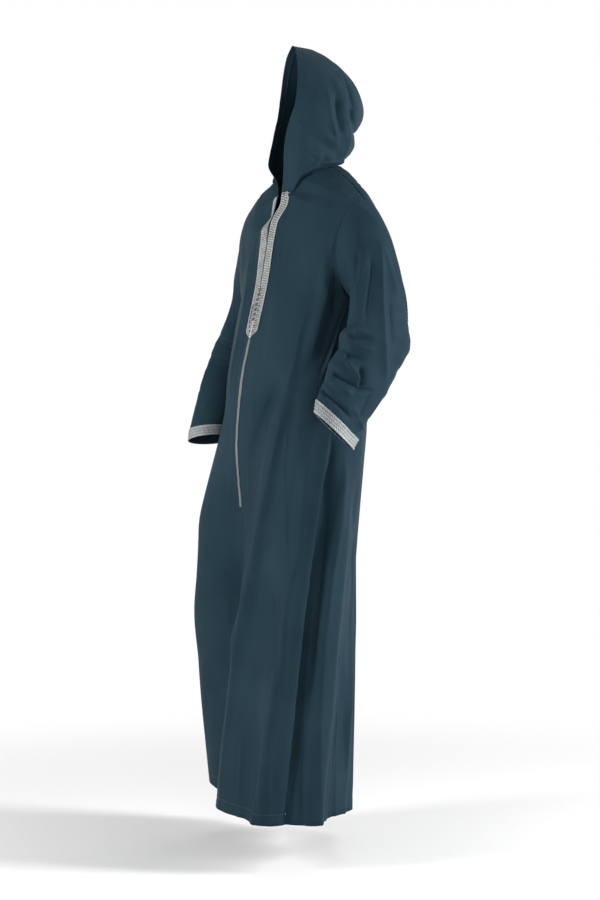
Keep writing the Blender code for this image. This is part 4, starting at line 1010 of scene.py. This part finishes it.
# the back is one piece: its two halves share the middle line up to the nape
left, right = quarters[1, -1], quarters[-1, -1]
rows, cols = left.shape[:2]
whole = LOW + 1 + int(np.sum(ROW_W <= 0.85))
index_l = np.arange(rows * cols).reshape(rows, cols)
index_r = index_l + rows * cols
index_r[:whole, 0] = index_l[:whole, 0]
ul, vl = arcs(left)
ur, vr = arcs(right)
uv = np.concatenate([np.stack([ul, vl], -1).reshape(-1, 2), np.stack([-ur, vr], -1).reshape(-1, 2)])
points = np.concatenate([left.reshape(-1, 3), right.reshape(-1, 3)])
step = 2 if FINE == 1 else 1
keep_rows = np.unique(np.concatenate([np.arange(0, rows, step), [whole - 1, rows - 1]]))
faces = np.concatenate([quads(index_l[keep_rows], False, True), quads(index_r[keep_rows], False, False)])
used = np.unique(faces)
renumber = np.full(len(points), -1)
renumber[used] = np.arange(len(used))
back = make("cloth_back", points[used], renumber[faces], uv[used], CLOTH_MATERIAL, 0.0012)
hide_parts("back")

sleeves = {}
for side, word in ((1, "left"), (-1, "right")):
    p, along = sleeve_folds(side, *arms[side])
    n = normals(p, loop=True)
    flip = np.sum(n * (p - p.mean(1, keepdims=True)), axis=-1).mean() < 0
    sleeves[side] = (p, -n if flip else n)
    ob = grid_object("cloth_sleeve_" + word, p, CLOTH_MATERIAL, 0.0012, loop=True, flip=bool(flip))
    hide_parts("sleeve_" + word)
    h = hood(side)
    ob = grid_object("cloth_hood_" + word, h, CLOTH_MATERIAL, 0.0012, flip=side > 0)
    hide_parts("hood_" + word)

# ---------------------------------------------------------------- braid

PLACKET_WIDTH = 0.030
PLACKET_TIP = 1.184
LINE_END = 0.800


def weave(a, x, y, rows, pitch, skew=0.35):
    """Plaited stitches: 0 to 1 high. a: share across, x: metres across (not used), y: along."""
    k = a * rows
    row = np.floor(np.clip(k, 0, rows - 1e-6))
    inside = k - row
    phase = (row % 2) * 0.5 + skew * np.where(row % 2 > 0, inside, -inside)
    stitch = np.abs(np.sin(math.pi * (y / pitch + phase))) ** 1.0
    return stitch * np.clip(np.sin(math.pi * inside), 0, 1) ** 0.8


def placket(side):
    panel = quarters[side, 1]
    n = normals(panel) * side
    length = np.linalg.norm(np.diff(panel, axis=1), axis=-1)
    run = np.concatenate([np.zeros((len(panel), 1)), np.cumsum(length, 1)], 1)
    mid_h = panel[:, 0, 2] + NECK
    corner = LOW + int(np.sum(ROW_W <= 0.70))
    past = np.linalg.norm(panel[:, 0] - panel[corner, 0], axis=-1) * (np.arange(len(panel)) > corner)
    across = np.linspace(0, 1, 36 // FINE + 1)
    rows = [i for i in range(len(panel)) if PLACKET_TIP - 0.02 < mid_h[i] and past[i] < 0.72 * PLACKET_WIDTH]
    pts = np.empty((len(rows), len(across), 3))
    nrm = np.empty_like(pts)
    for k, i in enumerate(rows):
        want = np.maximum(0.0004 + across * PLACKET_WIDTH - past[i], 0.0004)
        for c in range(3):
            pts[k, :, c] = np.interp(want, run[i], panel[i, :, c])
            nrm[k, :, c] = np.interp(want, run[i], n[i, :, c])
    # the seam's sunk edge doesn't show in the braid: it is bridged
    below = np.array([i <= corner for i in rows])[:, None, None]
    flat = pts[:, 4:5] - (pts[:, 8:9] - pts[:, 4:5])
    pts[:, :4] = np.where(below, flat + (pts[:, 4:5] - flat) * (across[:4] / across[4])[None, :, None], pts[:, :4])
    nrm[:, :4] = np.where(below, nrm[:, 4:5], nrm[:, :4])
    centre = pts[:, -2]
    arc = np.concatenate([[0], np.cumsum(np.linalg.norm(np.diff(centre, axis=0), axis=1))])
    start = np.interp(PLACKET_TIP, mid_h[rows], arc)
    want = np.linspace(start, arc[-1] - 0.001, int((arc[-1] - start) / (0.0011 * FINE)))
    out, on = np.empty((len(want), len(across), 3)), np.empty((len(want), len(across), 3))
    for j in range(len(across)):
        for c in range(3):
            out[:, j, c] = np.interp(want, arc, pts[:, j, c])
            on[:, j, c] = np.interp(want, arc, nrm[:, j, c])
    y = (want - start)[:, None]
    # the point at the foot, and the picot outer edge
    wide = ease((y + 0.0035) / 0.022) * 0.98 + 0.02
    picot = 1 + 0.022 * np.abs(np.sin(math.pi * y / 0.0048)) - 0.011
    share = across[None] * wide * picot
    j = share * (len(across) - 1)
    j0 = np.clip(np.floor(j).astype(int), 0, len(across) - 2)
    f = (j - j0)[..., None]
    r = np.arange(len(want))[:, None]
    grid = out[r, j0] * (1 - f) + out[r, j0 + 1] * f
    nn = unit(on[r, j0] * (1 - f) + on[r, j0 + 1] * f)
    x = share * PLACKET_WIDTH
    tall = weave(np.clip((x - 0.0028) / (PLACKET_WIDTH - 0.0056), 0, 1), x, y, 4, 0.0056)
    cord_in = np.clip(1 - ((x - 0.0014) / 0.0015) ** 2, 0, 1) ** 0.5 * (0.86 + 0.14 * np.sin(2 * math.pi * (y / 0.0026 + x / 0.004)))
    edge_x = wide * picot * PLACKET_WIDTH
    cord_out = np.clip(1 - ((x - edge_x + 0.0015) / 0.0016) ** 2, 0, 1) ** 0.5 * (0.80 + 0.20 * np.sin(2 * math.pi * (y / 0.0024 - x / 0.004)))
    tall = np.maximum(tall * np.where((x > 0.0028) & (x < edge_x - 0.0030), 1, 0), np.maximum(cord_in, cord_out) * 1.15)
    # openwork: a column of gaps along the slit and one at a third of the width; their darkness is painted shade
    gap = np.zeros(tall.shape)
    for k in range(7):
        at = 0.044 + 0.0112 * k
        gap = np.maximum(gap, 1 - np.abs(x / 0.0085) - np.abs((y - at) / 0.0054))
    for k in range(4):
        at = 0.0395 + 0.0112 * k
        gap = np.maximum(gap, 1 - np.abs((x - (0.0178 if side < 0 else 0.0150)) / (0.0070 if side < 0 else 0.0042)) - np.abs((y - at) / (0.0052 if side < 0 else 0.0036)))
    for k in range(2):
        at = 0.0165 + 0.0110 * k
        gap = np.maximum(gap, 0.9 - np.abs((x - 0.0060 - 0.005 * k) / 0.0040) - np.abs((y - at) / 0.0040))
    gap = ease(gap / 0.25)
    # painted shade along the line where the two strips meet, above the openwork
    gap = np.maximum(gap, ease((0.0026 - x) / 0.0010) * ease((y - 0.100) / 0.020))
    tall = tall * (1 - gap)
    # painted shade: the hollows between the stitches and the openwork gaps go dark in colour
    painted_shade = 0.70 * (1 - np.clip(tall, 0, 1)) ** 1.1 + 1.2 * gap
    lift = 0.0013 + 0.0011 * tall - 0.0006 * gap
    return grid + nn * lift[..., None], painted_shade


def line_braid():
    left, right = quarters[1, 1], quarters[-1, 1]
    hs = left[:, 0, 2] + NECK
    rows = [i for i in range(len(left)) if LINE_END - 0.02 < hs[i] < PLACKET_TIP + 0.02]
    dist = np.linspace(-0.0062, 0.0062, 12 // FINE + 1)
    pts = np.empty((len(rows), len(dist), 3))
    for k, i in enumerate(rows):
        strip = np.concatenate([right[i, 12:0:-1], left[i, 1:13]])
        run = np.concatenate([[0], np.cumsum(np.linalg.norm(np.diff(strip, axis=0), axis=1))])
        middle = run[11] + (run[12] - run[11]) / 2
        for c in range(3):
            pts[k, :, c] = np.interp(middle + dist, run, strip[:, c])
    nrm = normals(pts)
    nrm = nrm * np.where(nrm[..., 1:2].mean() < 0, 1, -1)
    centre = pts[:, len(dist) // 2]
    arc = np.concatenate([[0], np.cumsum(np.linalg.norm(np.diff(centre, axis=0), axis=1))])
    a0, a1 = np.interp(LINE_END, hs[rows], arc), np.interp(PLACKET_TIP - 0.002, hs[rows], arc)
    want = np.linspace(a0, a1, int((a1 - a0) / (0.0008 * FINE)))
    grid = np.stack([np.stack([np.interp(want, arc, pts[:, j, c]) for c in range(3)], -1) for j in range(len(dist))], 1)
    nn = unit(np.stack([np.stack([np.interp(want, arc, nrm[:, j, c]) for c in range(3)], -1) for j in range(len(dist))], 1))
    y = (want - a0)[:, None]
    a = (dist[None] + 0.0062) / 0.0124
    tall = weave(a + 0 * y, a * 0.0124, y, 2, 0.0050)
    tall = tall * ease((y + 0.0008) / 0.003) * 1.0
    # painted shade in the hollows between the stitches
    painted_shade = 0.40 * (1 - np.clip(tall, 0, 1))
    return grid + nn * (0.0012 + 0.0010 * tall)[..., None], painted_shade


def cuff(side):
    p, n = sleeves[side]
    t = np.linspace(0, 1, len(p))
    around = 420 // FINE
    rows = np.linspace(0.936, 1.0, 20 // FINE + 1)
    m = p.shape[1]
    j = np.arange(around) * m / around
    j0 = np.floor(j).astype(int)
    f = (j - j0)[None, :, None]

    def sample(q):
        rowed = np.stack([np.stack([np.interp(rows, t, q[:, k, c]) for c in range(3)], -1) for k in range(m)], 1)
        return rowed[:, j0 % m] * (1 - f) + rowed[:, (j0 + 1) % m] * f

    grid, nn = sample(p), unit(sample(n))
    a = np.linspace(0, 1, len(rows))[:, None]
    y = (np.arange(around) / around)[None] * 0.400
    tall = weave(a + 0 * y, a * 0.024, y, 4, 0.400 / 74)
    cord = np.maximum(np.clip(1 - ((a - 0.05) / 0.06) ** 2, 0, 1), np.clip(1 - ((a - 0.95) / 0.06) ** 2, 0, 1)) ** 0.5
    tall = np.maximum(tall, cord * (0.9 + 0.15 * np.sin(2 * math.pi * y / 0.0025)))
    speckle = np.sin(2 * math.pi * y / 0.0058) * np.sin(7 * math.pi * a) + 0.5 * np.sin(2 * math.pi * y / 0.0131 + 9 * a)
    # painted shade in the hollows between the stitches, plus a sine pattern of darker flecks
    painted_shade = 0.36 * (1 - np.clip(tall, 0, 1)) ** 1.1 + 0.13 * np.clip(speckle, 0, 1)
    return grid + nn * (0.0013 + 0.0010 * tall)[..., None], painted_shade


for side, word in ((1, "left"), (-1, "right")):
    p, painted_shade = placket(side)
    ob = grid_object("braid_placket_" + word, p, BRAID_MATERIAL, 0.0011, flip=side < 0, painted_shade=painted_shade)
    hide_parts("placket_braid_" + word)
    p, painted_shade = cuff(side)
    flip = np.sum(normals(p, loop=True) * (p - p.mean(1, keepdims=True)), axis=-1).mean() < 0
    ob = grid_object("braid_cuff_" + word, p, CUFF_MATERIAL, 0.0011, loop=True, flip=bool(flip), painted_shade=painted_shade)
    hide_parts("cuff_braid_" + word)
p, painted_shade = line_braid()
ob = grid_object("braid_front_line", p, LINE_MATERIAL, 0.0010, painted_shade=painted_shade)
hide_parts("front_braid_line")

# ---------------------------------------------------------------- pocket bag

front = quarters[1, 1]
inward = -normals(front)
share = np.linspace(0.46, 0.90, 40 // FINE + 1)
h_rows = np.linspace(0.62, 0.94, 50 // FINE + 1)
row_of = np.interp(h_rows, ROW_H, np.arange(LOW + 1))
bag = np.empty((len(h_rows), len(share), 3))
for i, r in enumerate(row_of):
    lo, f = int(r), r - int(r)
    line = (front[lo] * (1 - f) + front[lo + 1] * f) + (inward[lo] * (1 - f) + inward[lo + 1] * f) * 0.0036
    for c in range(3):
        bag[i, :, c] = np.interp(share, np.linspace(0, 1, COLS + 1), line[:, c])
ob = grid_object("cloth_pocket_bag_left", bag, CLOTH_INSIDE, 0.0010)
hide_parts("pocket_bag_left")

# ---------------------------------------------------------------- stitches


def stitches(name, path, nrm, length=0.0030, gap=0.0016, size=0.00042, parent=None):
    """Short threads laid along a path on the cloth, half sunk into it."""
    run = np.concatenate([[0], np.cumsum(np.linalg.norm(np.diff(path, axis=0), axis=1))])
    count = int(run[-1] / (length + gap))
    starts = np.arange(count) * (length + gap)
    ring = [(math.cos(k * math.pi / 3), math.sin(k * math.pi / 3)) for k in range(6)]
    verts, faces = [], []

    def at(x, q):
        return np.stack([np.interp(x, run, q[:, c]) for c in range(3)], -1)

    for s in starts:
        base = len(verts)
        xs = s + np.array([0.0, 0.15, 0.5, 0.85, 1.0]) * length
        fat = (0.35, 0.9, 1.0, 0.9, 0.35)
        pts, ns = at(xs, path), unit(at(xs, nrm))
        along = unit(at(np.array([s + length]), path) - at(np.array([s]), path))[0]
        for p0, n0, r in zip(pts, ns, fat):
            sidev = np.cross(n0, along)
            for cs, sn in ring:
                verts.append(p0 + n0 * (size * (0.35 + sn * r)) + sidev * (cs * size * r))
        for k in range(4):
            for q in range(6):
                a, b = base + k * 6 + q, base + k * 6 + (q + 1) % 6
                faces.append((a, b, b + 6, a + 6))
        faces.append(tuple(base + q for q in reversed(range(6))))
        faces.append(tuple(base + 24 + q for q in range(6)))
    mesh = bpy.data.meshes.new(name)
    mesh.from_pydata([tuple(v) for v in verts], [], faces)
    mesh.polygons.foreach_set("use_smooth", np.ones(len(mesh.polygons), dtype=bool))
    ob = bpy.data.objects.new(name, mesh)
    bpy.context.scene.collection.objects.link(ob)
    mesh.materials.append(THREAD)
    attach(ob, "root")
    return ob


def level_path(panel, n, h):
    """Where a panel's cloth passes a height above the hem's own line."""
    row = np.interp(h, ROW_H, np.arange(LOW + 1))
    lo, f = int(row), row - int(row)
    return panel[lo] * (1 - f) + panel[lo + 1] * f, unit(n[lo] * (1 - f) + n[lo + 1] * f)


for (side, forward), word in (((1, 1), "front_left"), ((-1, 1), "front_right"), ((1, -1), "back_left"), ((-1, -1), "back_right")):
    panel = quarters[side, forward]
    n = normals(panel) * side * forward
    path, nn = level_path(panel, n, HEM + 0.024)
    stitches("stitch_hem_" + word, path, nn)

for side, word in ((1, "left"), (-1, "right")):
    p = hood(side)
    n = normals(p)
    n = n * np.where(n[len(n) // 2, n.shape[1] // 3, 0] * side > 0, 1, -1)
    run = np.cumsum(np.linalg.norm(np.diff(p, axis=1), axis=-1), 1)
    run = np.concatenate([np.zeros((len(p), 1)), run], 1)
    path = np.stack([[np.interp(0.014, run[i], p[i, :, c]) for c in range(3)] for i in range(len(p))])
    nn = np.stack([[np.interp(0.014, run[i], n[i, :, c]) for c in range(3)] for i in range(len(p))])
    stitches("stitch_hood_edge_" + word, path, nn)

# ---------------------------------------------------------------- floor, light, camera


def plain(name, rgb, rough):
    m = bpy.data.materials.new(name)
    m.use_nodes = True
    b = m.node_tree.nodes["Principled BSDF"]
    b.inputs["Base Color"].default_value = (*rgb, 1)
    b.inputs["Roughness"].default_value = rough
    b.inputs["Specular IOR Level"].default_value = 0.1
    return m


floor_mesh = bpy.data.meshes.new("floor")
R = 40.0
floor_mesh.from_pydata([(-R, -R, -NECK), (R, -R, -NECK), (R, R, -NECK), (-R, R, -NECK)], [], [(0, 1, 2, 3)])
floor = bpy.data.objects.new("floor", floor_mesh)
bpy.context.scene.collection.objects.link(floor)
pale = plain("floor_pale", (0.84, 0.84, 0.84), 0.9)
tree = pale.node_tree
place = tree.nodes.new("ShaderNodeTexCoord")
apart = tree.nodes.new("ShaderNodeVectorMath")
apart.operation = "DISTANCE"
apart.inputs[1].default_value = (0.0, 0.0, -NECK)
tree.links.new(place.outputs["Object"], apart.inputs[0])
far = tree.nodes.new("ShaderNodeMapRange")
far.interpolation_type = "SMOOTHSTEP"
far.inputs["From Min"].default_value = 0.5
far.inputs["From Max"].default_value = 2.2
tree.links.new(apart.outputs["Value"], far.inputs["Value"])
glow = tree.nodes.new("ShaderNodeEmission")
glow.inputs["Color"].default_value = (1, 1, 1, 1)
both = tree.nodes.new("ShaderNodeMixShader")
tree.links.new(far.outputs["Result"], both.inputs["Fac"])
tree.links.new(tree.nodes["Principled BSDF"].outputs["BSDF"], both.inputs[1])
tree.links.new(glow.outputs["Emission"], both.inputs[2])
tree.links.new(both.outputs["Shader"], tree.nodes["Material Output"].inputs["Surface"])
floor_mesh.materials.append(pale)

world = bpy.data.worlds.new("studio")
bpy.context.scene.world = world
world.use_nodes = True
wt = world.node_tree
sky = wt.nodes["Background"]
sky.inputs["Strength"].default_value = 1.0
direction = wt.nodes.new("ShaderNodeTexCoord")
parts = wt.nodes.new("ShaderNodeSeparateXYZ")
wt.links.new(direction.outputs["Generated"], parts.inputs["Vector"])
height = wt.nodes.new("ShaderNodeMapRange")
height.interpolation_type = "SMOOTHSTEP"
height.inputs["From Min"].default_value = 0.24
height.inputs["From Max"].default_value = 0.50
height.inputs["To Min"].default_value = 1.0
height.inputs["To Max"].default_value = 0.12
wt.links.new(parts.outputs["Z"], height.inputs["Value"])
wt.links.new(height.outputs["Result"], sky.inputs["Color"])


def area_light(name, place, aim, size, power, colour=(1, 1, 1)):
    data = bpy.data.lights.new(name, "AREA")
    data.shape = "RECTANGLE"
    data.size, data.size_y = size
    data.energy = power
    data.color = colour
    ob = bpy.data.objects.new(name, data)
    ob.location = place
    ob.rotation_euler = (Vector(aim) - Vector(place)).to_track_quat("-Z", "Y").to_euler()
    bpy.context.scene.collection.objects.link(ob)
    return ob


def seen(across, toward, up):
    """A place given across, towards and above in the three-quarter view."""
    p = ACROSS * across + VIEW * toward
    return (p[0], p[1], up - NECK)


area_light("key", seen(3.3, 0.8, 1.8), seen(0, 0, 0.75), (0.8, 1.6), 188)
area_light("fill", seen(-3.1, 1.5, 1.7), seen(-0.1, 0, 1.15), (0.9, 1.8), 119)
area_light("front", seen(0.3, 3.9, 2.2), seen(0, 0, 1.2), (1.6, 1.6), 26)
area_light("top", seen(0.2, -0.6, 3.6), seen(0, 0, 1.2), (1.6, 1.6), 22)

camera_data = bpy.data.cameras.new("camera")
camera_data.sensor_fit = "HORIZONTAL"
camera_data.sensor_width = 36.0
camera_data.lens = 1732.0 / 600.0 * 36.0
camera_data.clip_end = 200.0
camera = bpy.data.objects.new("camera", camera_data)
camera.location = Vector(seen(-0.0139, 4.0, 0.93))
camera.rotation_euler = Vector((-VIEW[0], -VIEW[1], 0.0)).to_track_quat("-Z", "Y").to_euler()
bpy.context.scene.collection.objects.link(camera)
bpy.context.scene.camera = camera
bpy.context.scene.view_settings.view_transform = "Standard"
bpy.context.scene.view_settings.look = "None"
